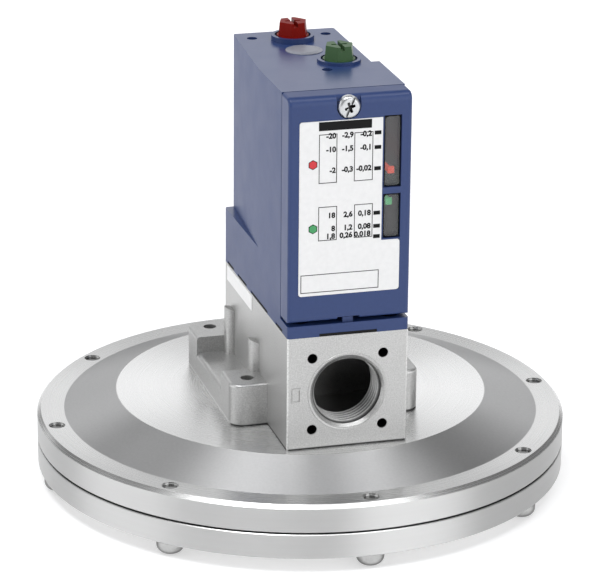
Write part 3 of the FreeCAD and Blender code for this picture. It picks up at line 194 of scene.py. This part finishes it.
def casting_finish(name):
    """Die-cast and tumbled: satin grey, finely speckled, with painted highlights along upright
    corners and lip, and painted shade in the blind holes, thread roots and wiring chamber and along
    the base joint.
    """
    graph = Graph(name, Metallic=0.78, Specular_IOR_Level=0.4)
    above, below = graph.above, graph.below
    place = graph.place()
    x, y, z = graph.parts(place)
    # Distances from the casting's middle plane and from the entry's axis
    side = graph.math("ABSOLUTE", x)
    reach = graph.distance(x, graph.math("SUBTRACT", z, ENTRY[1] * MM))

    speckle = graph.noise(place, 2800.0, 2.0, 0.7)
    cloud = graph.noise(place, 60.0, 3.0)
    shade = graph.mix(cloud, warm_grey(0.42), warm_grey(0.50))
    shade = graph.mix(graph.step(speckle, 0.38, 0.70, 0.0, 0.60), shade, grey(0.66, 0.01))
    shade = graph.mix(graph.step(speckle, 0.30, 0.45, 0.20, 0.0), shade, warm_grey(0.28))

    # Painted shade: the blind holes, the thread's roots, the wiring chamber and the joint along the
    # casting's base are darkened as shade.
    blind_hole_shade = graph.product(above(reach, 11.5, 0.1), below(side, 16.7, 0.1),
                                above(y, -48.55, 0.15), below(y, -38.5, 0.1))
    thread_root_shade = graph.product(above(reach, 9.6, 0.2, 0.92), below(reach, 10.2, 0.1),
                                 below(y, -39.9, 0.1), above(y, -48.0, 0.2))
    chamber_shade = graph.product(above(y, -40.8, 0.4), below(side, 16.0, 0.2), 0.5)
    base_contact_shade = graph.product(below(z, 26.0, 0.2, 0.95), below(side, 28.2, 0.1))
    for mask, level in ((blind_hole_shade, 0.03), (thread_root_shade, 0.07), (chamber_shade, 0.08),
                        (base_contact_shade, 0.02)):
        shade = graph.mix(mask, shade, grey(level))

    # Painted highlight: the upright front corners and the foot's lip are lightened as highlights,
    # broken up by the speckle.
    corner = graph.product(above(side, 17.1, 0.2), below(side, 17.9, 0.2), below(y, -48.35, 0.35))
    lip = graph.product(above(side, 27.75, 0.15), below(z, 26.4, 0.2))
    painted_edge_highlight = graph.product(graph.math("MAXIMUM", corner, lip),
                           graph.step(speckle, 0.3, 0.6, 0.25, 0.8))
    shade = graph.mix(painted_edge_highlight, shade, grey(0.86, 0.01))
    graph.shade(Base_Color=shade, Roughness=graph.step(speckle, 0.2, 0.8, 0.31, 0.45))
    graph.bump(speckle, 0.35, 0.12)
    return graph.material


# Where the flanges' turned surfaces change, as a radius or a height and how soft the change is
HUB_EDGE = (54.1, 0.1)
CONE_TOP = (54.3, 0.1)
CONE_FOOT = (69.6, 0.1)
CONE_LOW = (19.85, 0.15)
CHAMFER = (76.4, 0.05)
RIM = (76.8, 0.3)
RIM_EDGE = (77.45, 0.03)
GAP_LOW = (11.25, 0.05)
GAP_HIGH = (11.75, 0.05)


def turned_finish(name):
    """Turned stainless steel: fine concentric tool marks that smear reflections across them."""
    graph = Graph(name, Metallic=1.0, Anisotropic_Rotation=0.25)
    above, below = graph.above, graph.below
    place = graph.place()
    x, y, z = graph.parts(place)
    radius = graph.distance(x, y)
    along = graph.add("ShaderNodeCombineXYZ", X=radius, Y=z).outputs[0]
    rim = above(radius, *RIM)
    edge = above(radius, *RIM_EDGE, 0.24)
    chamfer = graph.product(above(radius, *CHAMFER), below(radius, *RIM_EDGE))
    cone = graph.product(above(radius, *CONE_TOP), below(radius, *CONE_FOOT), above(z, *CONE_LOW))
    hub = below(radius, *HUB_EDGE)
    # Painted shade: the narrow gap between the upper and lower flange is darkened nearly to black.
    flange_gap_shade = graph.product(above(z, *GAP_LOW), below(z, *GAP_HIGH))

    marks = graph.noise(along, 3600.0, 3.0, 0.7)
    bands = graph.noise(along, 300.0, 2.0)
    cloud = graph.noise(place, 45.0, 3.0)
    satin = graph.noise(place, 1400.0, 3.0)
    shade = graph.mix(bands, warm_grey(0.57), warm_grey(0.63))
    shade = graph.mix(graph.step(marks, 0.3, 0.7, 0.0, 0.12), shade, warm_grey(0.54))
    shade = graph.mix(graph.step(cloud, 0.35, 0.75, 0.0, 0.25), shade, warm_grey(0.67))
    # Painted light and shade: the rim's side and the hub get a lighter colour and the cone a darker
    # one, for how the studio's reflections fall on them.
    shade = graph.mix(rim, shade, graph.mix(bands, warm_grey(0.62), warm_grey(0.71)))
    shade = graph.mix(hub, shade, graph.mix(bands, warm_grey(0.70), warm_grey(0.76)))
    shade = graph.mix(cone, shade, graph.mix(satin, grey(0.48), grey(0.56)))
    shade = graph.mix(flange_gap_shade, shade, grey(0.03))

    polish = graph.step(marks, 0.2, 0.8, 0.26, 0.29)
    coarse = graph.math("ADD", graph.product(cone, 0.22), edge)
    tangent = graph.add("ShaderNodeTangent", {"direction_type": "RADIAL", "axis": "Z"})
    graph.shade(Base_Color=shade, Roughness=graph.math("ADD", polish, coarse),
                Anisotropic=graph.step(chamfer, 0.0, 1.0, 0.93, 0.30), Tangent=tangent.outputs[0])
    graph.bump(marks, 0.03, 0.03)
    return graph.material


def metal(name, colour, rough, streak=(1.0, 1.0, 1.0), painted_grazing_shade=0.0):
    """Plain metal with streaked colour and roughness, and painted shade that darkens it where it
    turns away from view.
    """
    graph = Graph(name, Metallic=1.0)
    place = graph.place()
    lines = graph.noise(graph.stretch(place, streak), 900.0, 3.0, 0.6)
    blotch = graph.noise(place, 140.0, 3.0)
    shade = graph.mix(lines, rgba(colour, 0.85), rgba(colour, 1.15))
    shade = graph.mix(graph.step(blotch, 0.4, 0.7, 0.0, 0.2), shade, rgba(colour, 0.8))
    # Painted shade: the colour darkens towards black where the surface turns away from view.
    if painted_grazing_shade:
        facing = graph.add("ShaderNodeLayerWeight", Blend=0.5).outputs["Facing"]
        shade = graph.mix(graph.step(facing, 0.25, 0.75, 0.0, painted_grazing_shade), shade, rgba(colour, 0.1))
    gloss = graph.step(blotch, 0.2, 0.8, rough - 0.06, rough + 0.08)
    graph.shade(Base_Color=shade, Roughness=gloss)
    graph.bump(lines, 0.08, 0.05)
    return graph.material


def rubber(name, colour):
    """Matt rubber with a fine grain."""
    graph = Graph(name, Specular_IOR_Level=0.1)
    place = graph.place()
    fine = graph.noise(place, 1200.0, 3.0)
    broad = graph.noise(place, 90.0)
    graph.shade(Base_Color=graph.mix(fine, rgba(colour, 0.8), rgba(colour, 1.4)),
                Roughness=graph.step(broad, 0.2, 0.8, 0.62, 0.8))
    graph.bump(fine, 0.15, 0.1)
    return graph.material


def window_finish(name):
    """Smoky clear moulding with faint flow marks."""
    graph = Graph(name, Transmission_Weight=0.96, IOR=1.49, Specular_IOR_Level=0.5)
    flow = graph.noise(graph.stretch(graph.place(), (1.0, 1.0, 0.2)), 120.0, 2.0)
    graph.shade(Base_Color=graph.mix(flow, grey(0.70, -0.01), grey(0.80, -0.01)),
                Roughness=graph.step(flow, 0.2, 0.8, 0.06, 0.14))
    graph.bump(flow, 0.04, 0.2)
    return graph.material


def printed(name, colour, rough=0.45, sheen=0.4):
    """Ink or printed film: nearly even, with slight mottling."""
    graph = Graph(name, Specular_IOR_Level=sheen)
    mottle = graph.noise(graph.place(), 700.0, 3.0)
    graph.shade(Base_Color=graph.mix(mottle, rgba(colour, 0.93), rgba(colour, 1.05)),
                Roughness=graph.step(mottle, 0.2, 0.8, rough - 0.04, rough + 0.06))
    graph.bump(mottle, 0.03, 0.05)
    return graph.material


BLUE = (0.022, 0.046, 0.150)

FINISHES = {
    "turned_steel": turned_finish("turned_steel_finish"),
    "machine_screw": metal("machine_screw_finish", (0.46, 0.46, 0.455), 0.20, painted_grazing_shade=0.85),
    "diaphragm_rubber": rubber("diaphragm_rubber_finish", (0.03, 0.03, 0.03)),
    "inner_steel": metal("inner_steel_finish", (0.50, 0.50, 0.50), 0.38, (1.0, 0.1, 1.0)),
    "die_casting": casting_finish("die_casting_finish"),
    "blue_housing": moulded("blue_housing_finish", BLUE, worn=0.04, top_sheen=1.0),
    "blue_cover": moulded("blue_cover_finish", BLUE, 0.38, worn=0.04),
    "grey_plug": moulded("grey_plug_finish", (0.24, 0.25, 0.29), 0.36),
    "seal_rubber": rubber("seal_rubber_finish", (0.015, 0.015, 0.015)),
    "zinc_screw": metal("zinc_screw_finish", (0.60, 0.61, 0.62), 0.34),
    "clear_window": window_finish("clear_window_finish"),
    "scale_sheet": printed("scale_sheet_finish", (0.80, 0.80, 0.80)),
    "marker_sheet": printed("marker_sheet_finish", (0.90, 0.90, 0.90)),
    "red_moulding": moulded("red_moulding_finish", (0.20, 0.005, 0.002), 0.34, sheen=0.06),
    "green_moulding": moulded("green_moulding_finish", (0.045, 0.105, 0.040), 0.36, sheen=0.2),
    # The pointers glow in their own colour as painted light, though they are no lamps.
    "red_pointer": moulded("red_pointer_finish", (0.90, 0.08, 0.03), 0.30, painted_glow=0.55),
    "green_pointer": moulded("green_pointer_finish", (0.12, 0.60, 0.24), 0.30, painted_glow=0.45),
    "brass_part": metal("brass_part_finish", (0.62, 0.46, 0.20), 0.28),
    "spring_steel": metal("spring_steel_finish", (0.48, 0.48, 0.48), 0.26),
    "switch_moulding": moulded("switch_moulding_finish", (0.02, 0.02, 0.02), 0.45),
    "white_plunger": moulded("white_plunger_finish", (0.75, 0.75, 0.72), 0.35),
}
# Glossy black for the panes' bevelled sides, and painted shade in the screw head's sunk cross and
# slot.
DARK_EDGE_AND_RECESS_SHADE = moulded("dark_edge_and_recess_shade_finish", (0.010, 0.010, 0.011), 0.14, grain=0.02)
BLACK_INK = printed("black_ink_finish", (0.008, 0.008, 0.008), 0.5, 0.12)
RED_INK = printed("red_ink_finish", (0.62, 0.035, 0.045), 0.5)
GREEN_INK = printed("green_ink_finish", (0.06, 0.33, 0.12), 0.5)

for part in frame["record"]["subparts"]:
    for material_slot in NODES[part["node"]].material_slots:
        material_slot.material = FINISHES[part["material_slot"]]


# Pieces made here

SHARP_ANGLE = math.radians(35)
WELD = 1e-5
WELD_METRES = 1e-7


def piece(name, mesh, slot, finish=None, body="body", smooth=False):
    """Put a mesh into the scene as a piece that rides on a body, or on none."""
    item = bpy.data.objects.new(name, mesh)
    scene.collection.objects.link(item)
    mesh.materials.clear()
    mesh.materials.append(finish or FINISHES[slot])
    if smooth:
        mesh.shade_smooth()
        mesh.set_sharp_from_angle(angle=SHARP_ANGLE)
    if body:
        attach(item, body)
    return item


def to_mesh(shape, name):
    """The mesh of a bmesh, which is used up."""
    mesh = bpy.data.meshes.new(name)
    shape.to_mesh(mesh)
    shape.free()
    if "custom_normal" in mesh.attributes:
        mesh.attributes.remove(mesh.attributes["custom_normal"])
    return mesh


def closed_mesh(name, build, *values):
    """A mesh in metres, filled by a function that gets an empty bmesh and the values."""
    shape = bmesh.new()
    build(shape, *values)
    bmesh.ops.remove_doubles(shape, verts=shape.verts, dist=WELD)
    bmesh.ops.recalc_face_normals(shape, faces=shape.faces)
    bmesh.ops.scale(shape, verts=shape.verts, vec=(MM, MM, MM))
    return to_mesh(shape, name)


def node_shape(node):
    """A bmesh of a node's mesh, where it is in the part."""
    shape = bmesh.new()
    shape.from_mesh(NODES[node].data)
    shape.transform(NODES[node].matrix_world)
    return shape


def bridge(shape, rings, around=False):
    """Faces from each ring of vertices to the next, and from last to first if it goes around."""
    for ring, following in zip(rings, rings[1:] + rings[:1] if around else rings[1:]):
        for index in range(len(ring)):
            after = (index + 1) % len(ring)
            shape.faces.new((ring[index], ring[after], following[after], following[index]))


def slab(shape, corners, front, back):
    """A prism over a flat outline of (x, z) corners, between two depths along Y."""
    near, far = ([shape.verts.new((x, depth, z)) for x, z in corners] for depth in (front, back))
    shape.faces.new(near)
    shape.faces.new(list(reversed(far)))
    bridge(shape, [far, near])


def box_outline(left, right, low, high):
    return [(left, low), (right, low), (right, high), (left, high)]


def hex_outline(centre, radius):
    """A hexagon that stands on a corner."""
    angles = [math.radians(30 + 60 * k) for k in range(6)]
    return [(centre[0] + radius * math.cos(a), centre[1] + radius * math.sin(a)) for a in angles]


def thin_frame(shape, left, right, low, high, line, front, back):
    """A thin rectangular frame, as one closed ring."""
    rings = []
    for inset, depth in ((0.0, front), (line, front), (line, back), (0.0, back)):
        outline = box_outline(left + inset, right - inset, low + inset, high - inset)
        rings.append([shape.verts.new((x, depth, z)) for x, z in outline])
    bridge(shape, rings, around=True)


# Print on the scale plate, which lies in the cover's face

INK = 0.03
PRINT_FRONT = COVER_FACE - INK
PRINT_BACK = COVER_FACE + 0.02
PRINT_LINE = 0.2
TITLE_BAR = (-9.07, 5.93, 118.25, 120.75)
WINDOW_FRAMES = ((-9.0, -3.85, 103.3, 117.25), (1.0, 6.35, 103.3, 117.2),
                 (-9.0, -3.7, 86.8, 96.6), (1.2, 6.5, 86.95, 96.6), (-13.9, 8.5, 71.9, 77.2))
TICK_LEVELS = (116.75, 112.6, 106.55, 93.76, 89.96, 86.97)
TICK_ENDS = (6.75, 8.65)
TICK_HALF = 0.55


def print_scale(shape):
    """Bar, frames and ticks of the scale plate."""
    slab(shape, box_outline(*TITLE_BAR), PRINT_FRONT, PRINT_BACK)
    for edges in WINDOW_FRAMES:
        thin_frame(shape, *edges, PRINT_LINE, PRINT_FRONT, PRINT_BACK)
    for level in TICK_LEVELS:
        tick = box_outline(*TICK_ENDS, level - TICK_HALF, level + TICK_HALF)
        slab(shape, tick, PRINT_FRONT, PRINT_BACK)


piece("scale_lines", closed_mesh("scale_lines", print_scale), "scale_sheet", BLACK_INK)

NUMBER_COLUMNS = (-4.2, 0.75, 5.95)
NUMBER_ROWS = (
    (115.7, ("-20", "-2,9", "-0,2")),
    (111.85, ("-10", "-1,5", "-0,1")),
    (105.9, ("-2", "-0,3", "-0,02")),
    (93.0, ("18", "2,6", "0,18")),
    (89.2, ("8", "1,2", "0,08")),
    (87.0, ("1,8", "0,26", "0,018")),
)
NUMBER_SIZE = 2.1
NUMBER_STROKE = 0.09
NUMBER_RISE = 0.28
NUMBER_DEPTH = 0.02
NUMBER_WELD_METRES = 1e-8


def number_mesh(word, right, level):
    """A dial number that ends at a right edge, in metres."""
    curve = bpy.data.curves.new("dial_number", type="FONT")
    curve.body = word
    curve.size = NUMBER_SIZE
    curve.offset = NUMBER_STROKE
    curve.align_x = "RIGHT"
    curve.extrude = NUMBER_DEPTH
    curve.resolution_u = 3
    holder = bpy.data.objects.new("dial_number", curve)
    mesh = bpy.data.meshes.new_from_object(holder)
    spot = Matrix.Translation((right, PRINT_FRONT + NUMBER_DEPTH, level + NUMBER_RISE))
    mesh.transform(Matrix.Scale(MM, 4) @ spot @ Matrix.Rotation(math.pi / 2, 4, "X"))
    bpy.data.objects.remove(holder)
    bpy.data.curves.remove(curve)
    return mesh


def print_numbers():
    """Plain dial numbers, right-aligned in three columns."""
    shape = bmesh.new()
    for level, words in NUMBER_ROWS:
        for right, word in zip(NUMBER_COLUMNS, words):
            mesh = number_mesh(word, right, level)
            shape.from_mesh(mesh)
            bpy.data.meshes.remove(mesh)
    bmesh.ops.remove_doubles(shape, verts=shape.verts, dist=NUMBER_WELD_METRES)
    return to_mesh(shape, "dial_numbers")


piece("dial_numbers", print_numbers(), "scale_sheet", BLACK_INK)

MARK_EDGE_RADIUS = 1.42
MARK_RADIUS = 1.18

for mark, ink, centre in (("range_mark", RED_INK, (-10.66, 108.8)),
                          ("differential_mark", GREEN_INK, (-10.5, 90.4))):
    outer, inner = (hex_outline(centre, radius) for radius in (MARK_EDGE_RADIUS, MARK_RADIUS))
    piece(mark + "_edge", closed_mesh(mark, slab, outer, PRINT_FRONT, PRINT_BACK), "scale_sheet",
          BLACK_INK)
    piece(mark, closed_mesh(mark, slab, inner, PRINT_FRONT - INK, PRINT_FRONT), "scale_sheet", ink)


# Cable entry


def entry_vertex(shape, reach, level, angle):
    """A vertex at a distance from the entry's axis, at a depth along Y."""
    across, up = reach * math.cos(angle), reach * math.sin(angle)
    return shape.verts.new((ENTRY[0] + across, level, ENTRY[1] + up))


THREAD_ROOT, THREAD_CREST, THREAD_PITCH = 10.02, 9.31, 1.5
THREAD_FOOT_HALF, THREAD_CREST_HALF = 0.66, 0.12
THREAD_START = -47.9
THREAD_TURNS = 5.3
THREAD_STEPS = 72
THREAD_FADE_STEPS = 18
THREAD_LEAST = 0.02


def entry_thread(shape):
    """Ridge of the M20 x 1.5 thread on the entry's wall, which fades at its ends."""
    section = ((0.0, -THREAD_FOOT_HALF), (THREAD_CREST - THREAD_ROOT, -THREAD_CREST_HALF),
               (THREAD_CREST - THREAD_ROOT, THREAD_CREST_HALF), (0.0, THREAD_FOOT_HALF))
    rings = []
    last = int(THREAD_TURNS * THREAD_STEPS)
    for step in range(last + 1):
        share = min(1.0, step / THREAD_FADE_STEPS, (last - step) / THREAD_FADE_STEPS)
        share = max(share, THREAD_LEAST)
        level = THREAD_START + THREAD_PITCH * step / THREAD_STEPS
        angle = 2 * math.pi * step / THREAD_STEPS
        rings.append([entry_vertex(shape, THREAD_ROOT + rise * share, level + offset, angle)
                      for rise, offset in section])
    bridge(shape, rings)
    shape.faces.new(rings[0])
    shape.faces.new(list(reversed(rings[-1])))


piece("entry_thread", closed_mesh("entry_thread", entry_thread), "die_casting", smooth=True)

RING_SECTION = ((11.05, 0.10), (11.05, -0.10), (11.20, -0.16), (11.45, -0.16), (11.60, 0.10))
RING_STEPS = 128


def entry_ring(shape):
    """Thin raised ring round the entry's mouth."""
    rings = []
    for step in range(RING_STEPS):
        angle = 2 * math.pi * step / RING_STEPS
        rings.append([entry_vertex(shape, reach, COVER_FACE + depth, angle)
                      for reach, depth in RING_SECTION])
    bridge(shape, rings, around=True)


piece("entry_ring", closed_mesh("entry_ring", entry_ring), "die_casting", smooth=True)

# The plain raised frame beside the entry: left, right, low, high, line, front and back
CASTING_MARK = (-16.1, -13.6, 39.8, 44.0, 0.36, COVER_FACE - 0.4, COVER_FACE + 0.05)

piece("casting_mark", closed_mesh("casting_mark", thin_frame, *CASTING_MARK), "die_casting")


# Windows

PANE_ROUND = 1.9
PANE_CORNER_STEPS = 6
PANE_FLANGE_DEPTH = 1.65
# How far the pane's outline is inset, and how far behind its front
PANE_SECTION = ((0.0, PANE_FLANGE_DEPTH), (0.72, PANE_FLANGE_DEPTH), (0.72, 0.5), (0.9, 0.17),
                (1.2, 0.0))
FLAT_NORMAL = 0.99


def pane(shape, node):
    """A window with a flange behind its opening, rounded corners and a bevelled front edge."""
    (left, front, low), (right, back, high) = [[v / MM for v in corner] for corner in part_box(node)]
    left, right = left + PANE_ROUND, right - PANE_ROUND
    low, high = low + PANE_ROUND, high - PANE_ROUND
    quarters = ((0, right, high), (90, left, high), (180, left, low), (270, right, low))
    rings = []
    for inset, depth in ((0.0, back - front), *PANE_SECTION):
        radius = PANE_ROUND - inset
        ring = []
        for turn, x, z in quarters:
            for step in range(PANE_CORNER_STEPS + 1):
                angle = math.radians(turn + 90 * step / PANE_CORNER_STEPS)
                across, up = radius * math.cos(angle), radius * math.sin(angle)
                ring.append(shape.verts.new((x + across, front + depth, z + up)))
        rings.append(ring)
    bridge(shape, rings)
    shape.faces.new(rings[0])
    shape.faces.new(rings[-1])


for node in ("range_window", "differential_window"):
    glazing = piece(node + "_pane", closed_mesh(node, pane, node), "clear_window")
    glazing.data.materials.append(DARK_EDGE_AND_RECESS_SHADE)
    for face in glazing.data.polygons:
        face.material_index = 0 if abs(face.normal.y) > FLAT_NORMAL else 1
    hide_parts(node)


# Cover screw

SCREW = (-0.6, 124.6)
SCREW_FACE = COVER_FACE - 1.0
# The slot and the cross's two bars: length, width, turn in degrees and depth
HEAD_BARS = ((7.4, 0.75, 66.0, 0.75), (3.1, 0.8, 20.0, 1.2), (3.1, 0.8, 110.0, 1.2))
# A bar's outline, in shares of half its length and half its width
BAR_CORNERS = ((-1, -0.6), (-0.9, -1), (0.9, -1), (1, -0.6),
               (1, 0.6), (0.9, 1), (-0.9, 1), (-1, 0.6))
# Faces this far behind the head's front and this near its middle get the black finish as painted
# shade
SUNK_DEPTHS = (0.05, 1.3)
CROSS_RADIUS = 2.0
SLOT_RADIUS = 2.9
WALL_NORMAL = 0.3


def carve(node, cutters):
    """A copy of a node's mesh with closed cutter meshes taken out of it."""
    held = [bpy.data.objects.new("blank", NODES[node].data.copy())]
    held[0].matrix_world = NODES[node].matrix_world
    for mesh in cutters:
        tool = bpy.data.objects.new("cutter", mesh)
        held.append(tool)
        cut = held[0].modifiers.new("cut", "BOOLEAN")
        cut.object = tool
        cut.solver = "EXACT"
    for item in held:
        scene.collection.objects.link(item)
    evaluated = held[0].evaluated_get(bpy.context.evaluated_depsgraph_get())
    result = bpy.data.meshes.new_from_object(evaluated)
    result.transform(NODES[node].matrix_world)
    for item in held:
        bpy.data.objects.remove(item)
    return result


def bar(shape, length, width, turn, depth):
    """A rounded bar across the screw's head, sunk into it."""
    angle = math.radians(turn)
    along = Vector((math.cos(angle), math.sin(angle)))
    across = Vector((-along.y, along.x))
    corners = []
    for u, v in BAR_CORNERS:
        spot = along * (u * length / 2) + across * (v * width / 2)
        corners.append((SCREW[0] + spot.x, SCREW[1] + spot.y))
    slab(shape, corners, SCREW_FACE - 1.0, SCREW_FACE + depth)


head_cutters = [closed_mesh("head_cutter", bar, *values) for values in HEAD_BARS]
head = piece("slotted_screw", carve("cover_screw", head_cutters), "zinc_screw")
# The black finish paints shade into the sunk cross and slot.
head.data.materials.append(DARK_EDGE_AND_RECESS_SHADE)
for face in head.data.polygons:
    spot = face.center / MM
    radius = math.hypot(spot.x - SCREW[0], spot.z - SCREW[1])
    wall = abs(face.normal.y) < WALL_NORMAL
    sunk = SUNK_DEPTHS[0] < spot.y - SCREW_FACE < SUNK_DEPTHS[1]
    recess_shade = sunk and (radius < CROSS_RADIUS or (radius < SLOT_RADIUS and wall))
    face.material_index = 1 if recess_shade else 0
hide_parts("cover_screw")


# The housing's left flank runs straight from the cover to the rear corner, between these ends in
# (x, y). The part's source steps it in.

FLANK_STEP = (-17.5, -17.0)
FLANK_REAR = (-15.1, 20.5)
FLANK_STEPPED_IN = (-16.3, -14.6)
LEDGE_TOP = 75.3
NEAR = 0.05


def straight_flank():
    """The housing's mesh with the points of its stepped left flank moved out to a straight line."""
    shape = node_shape("housing")
    for spot in (vertex.co for vertex in shape.verts):
        x, y, z = spot / MM
        stepped_in = FLANK_STEPPED_IN[0] < x < FLANK_STEPPED_IN[1]
        if stepped_in and y > FLANK_STEP[1] - NEAR and z > LEDGE_TOP - NEAR:
            share = (FLANK_REAR[1] - y) / (FLANK_REAR[1] - FLANK_STEP[1])
            spot.x += (FLANK_STEP[0] - FLANK_REAR[0]) * MM * min(1.0, max(0.0, share))
    bmesh.ops.remove_doubles(shape, verts=shape.verts, dist=WELD_METRES)
    bmesh.ops.dissolve_degenerate(shape, edges=shape.edges, dist=WELD_METRES)
    return to_mesh(shape, "housing_shell")


shell = piece("housing_shell", straight_flank(), "blue_housing", smooth=True)
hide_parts("housing")


# Springs: in the switch the foot of each hangs on the lever and its head on the nut; here both ride
# on no body. They meet at a resting level.

FOOT_SHARE = 0.25
CUT_METRES = 1e-8
SLIVER_METRES = 1e-6


def cut_off(node, level, above):
    """The part of a node's mesh above or below a level in metres, closed where it is cut."""
    shape = node_shape(node)
    bmesh.ops.remove_doubles(shape, verts=shape.verts, dist=WELD_METRES)
    everything = shape.verts[:] + shape.edges[:] + shape.faces[:]
    cut = bmesh.ops.bisect_plane(shape, geom=everything, dist=CUT_METRES, plane_co=(0, 0, level),
                                 plane_no=(0, 0, 1), clear_outer=not above, clear_inner=above)
    rim = [item for item in cut["geom_cut"] if isinstance(item, bmesh.types.BMEdge)]
    bmesh.ops.holes_fill(shape, edges=rim)
    bmesh.ops.dissolve_degenerate(shape, edges=shape.edges, dist=SLIVER_METRES)
    return to_mesh(shape, node)


for kind in ("range", "differential"):
    node = f"{kind}_spring"
    low, high = (Vector(corner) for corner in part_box(node))
    level = low.z + FOOT_SHARE * (high.z - low.z)
    foot, top = (piece(f"{node}_{end}", cut_off(node, level, end == "head"), "spring_steel",
                       body=None, smooth=True) for end in ("foot", "head"))
    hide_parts(node)
    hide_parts(node)
    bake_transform(foot)
    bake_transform(top)


# Camera, light and floor

# Fitted to corners and circles measured in the photo. Its focal length and width are in pixels.
AZIMUTH, ELEVATION, ROLL = (math.radians(angle) for angle in (-15.712, 19.491, 0.509))
TARGET_RIGHT, TARGET_HEIGHT, DISTANCE = 0.712, 54.214, 941.792
PHOTO_FOCAL, PHOTO_WIDTH = 3224.387, 607.0
SENSOR_WIDTH = 36.0


def set_camera():
    flat = math.cos(ELEVATION)
    back = Vector((math.sin(AZIMUTH) * flat, -math.cos(AZIMUTH) * flat, math.sin(ELEVATION)))
    right = Vector((math.cos(AZIMUTH), math.sin(AZIMUTH), 0.0))
    up = back.cross(right)
    rolled_right = right * math.cos(ROLL) + up * math.sin(ROLL)
    rolled_up = up * math.cos(ROLL) - right * math.sin(ROLL)
    target = right * TARGET_RIGHT + Vector((0.0, 0.0, TARGET_HEIGHT))
    lens = bpy.data.cameras.new("camera")
    lens.sensor_width = SENSOR_WIDTH
    lens.lens = PHOTO_FOCAL * SENSOR_WIDTH / PHOTO_WIDTH
    lens.clip_start = 0.05
    lens.clip_end = 20.0
    camera = bpy.data.objects.new("camera", lens)
    scene.collection.objects.link(camera)
    turn = Matrix((rolled_right, rolled_up, back)).transposed().to_4x4()
    camera.matrix_world = Matrix.Translation((target + back * DISTANCE) * MM) @ turn
    scene.camera = camera


# Light panels: left and right azimuth in degrees, 0 at -Y and 90 at +X, low and high height on a
# unit sphere, and strength
PANELS = (
    (-120.0, -70.0, -0.05, 0.55, 1.7),
    (-60.0, 0.0, -0.05, 0.45, 0.12),
    (-120.0, -14.0, 0.88, 0.975, 8.5),
    (-14.0, 26.0, 0.87, 0.965, 2.2),
    (8.0, 58.0, -0.05, 0.62, 2.0),
    (26.0, 84.0, 0.87, 0.96, 6.0),
    (130.0, 180.0, 0.20, 0.60, 1.0),
    (-180.0, -150.0, 0.20, 0.60, 1.0),
)
SIDE_SOFTNESS = math.radians(2.0)
HEIGHT_SOFTNESS = 0.04


class Sky(Graph):
    """Node graph of the studio: large soft panels drawn by direction on a dim surround."""

    def __init__(self, name):
        world = bpy.data.worlds.new(name)
        scene.world = world
        world.use_nodes = True
        self.tree = world.node_tree
        self.background = self.tree.nodes["Background"]
        direction = self.add("ShaderNodeTexCoord").outputs["Generated"]
        x, y, self.height = self.parts(direction)
        self.azimuth = self.math("ARCTAN2", x, self.product(y, -1.0))

    def band(self, value, low, high, soft):
        rise = self.step(value, low - soft, low + soft)
        return self.product(rise, self.step(value, high - soft, high + soft, 1.0, 0.0))

    def panel(self, left, right, low, high, strength):
        across = self.band(self.azimuth, math.radians(left), math.radians(right), SIDE_SOFTNESS)
        return self.product(across, self.band(self.height, low, high, HEIGHT_SOFTNESS), strength)


def set_light():
    sky = Sky("studio")
    light = sky.step(sky.height, -0.1, 1.0, 0.24, 0.20)
    for edges in PANELS:
        light = sky.math("ADD", light, sky.panel(*edges))
    sky.feed(light, sky.background.inputs["Strength"])
    sky.background.inputs["Color"].default_value = (0.985, 0.99, 1.0, 1.0)


# In metres
FLOOR_REACH = 2.5
FLOOR_LEVEL = -0.0002


def set_floor():
    graph = Graph("floor_finish", Roughness=0.75, Emission_Color=grey(1.0), Emission_Strength=0.46)
    cloud = graph.noise(graph.place(), 6.0, 2.0)
    graph.shade(Base_Color=graph.mix(cloud, grey(0.66, -0.005), grey(0.70, -0.005)))
    corners = box_outline(-FLOOR_REACH, FLOOR_REACH, -FLOOR_REACH, FLOOR_REACH)
    mesh = bpy.data.meshes.new("floor")
    mesh.from_pydata([(x, y, 0.0) for x, y in corners], [], [(0, 1, 2, 3)])
    mesh.materials.append(graph.material)
    ground = bpy.data.objects.new("floor", mesh)
    ground.location.z = FLOOR_LEVEL
    scene.collection.objects.link(ground)


set_camera()
set_light()
set_floor()
scene.view_settings.view_transform = "Standard"
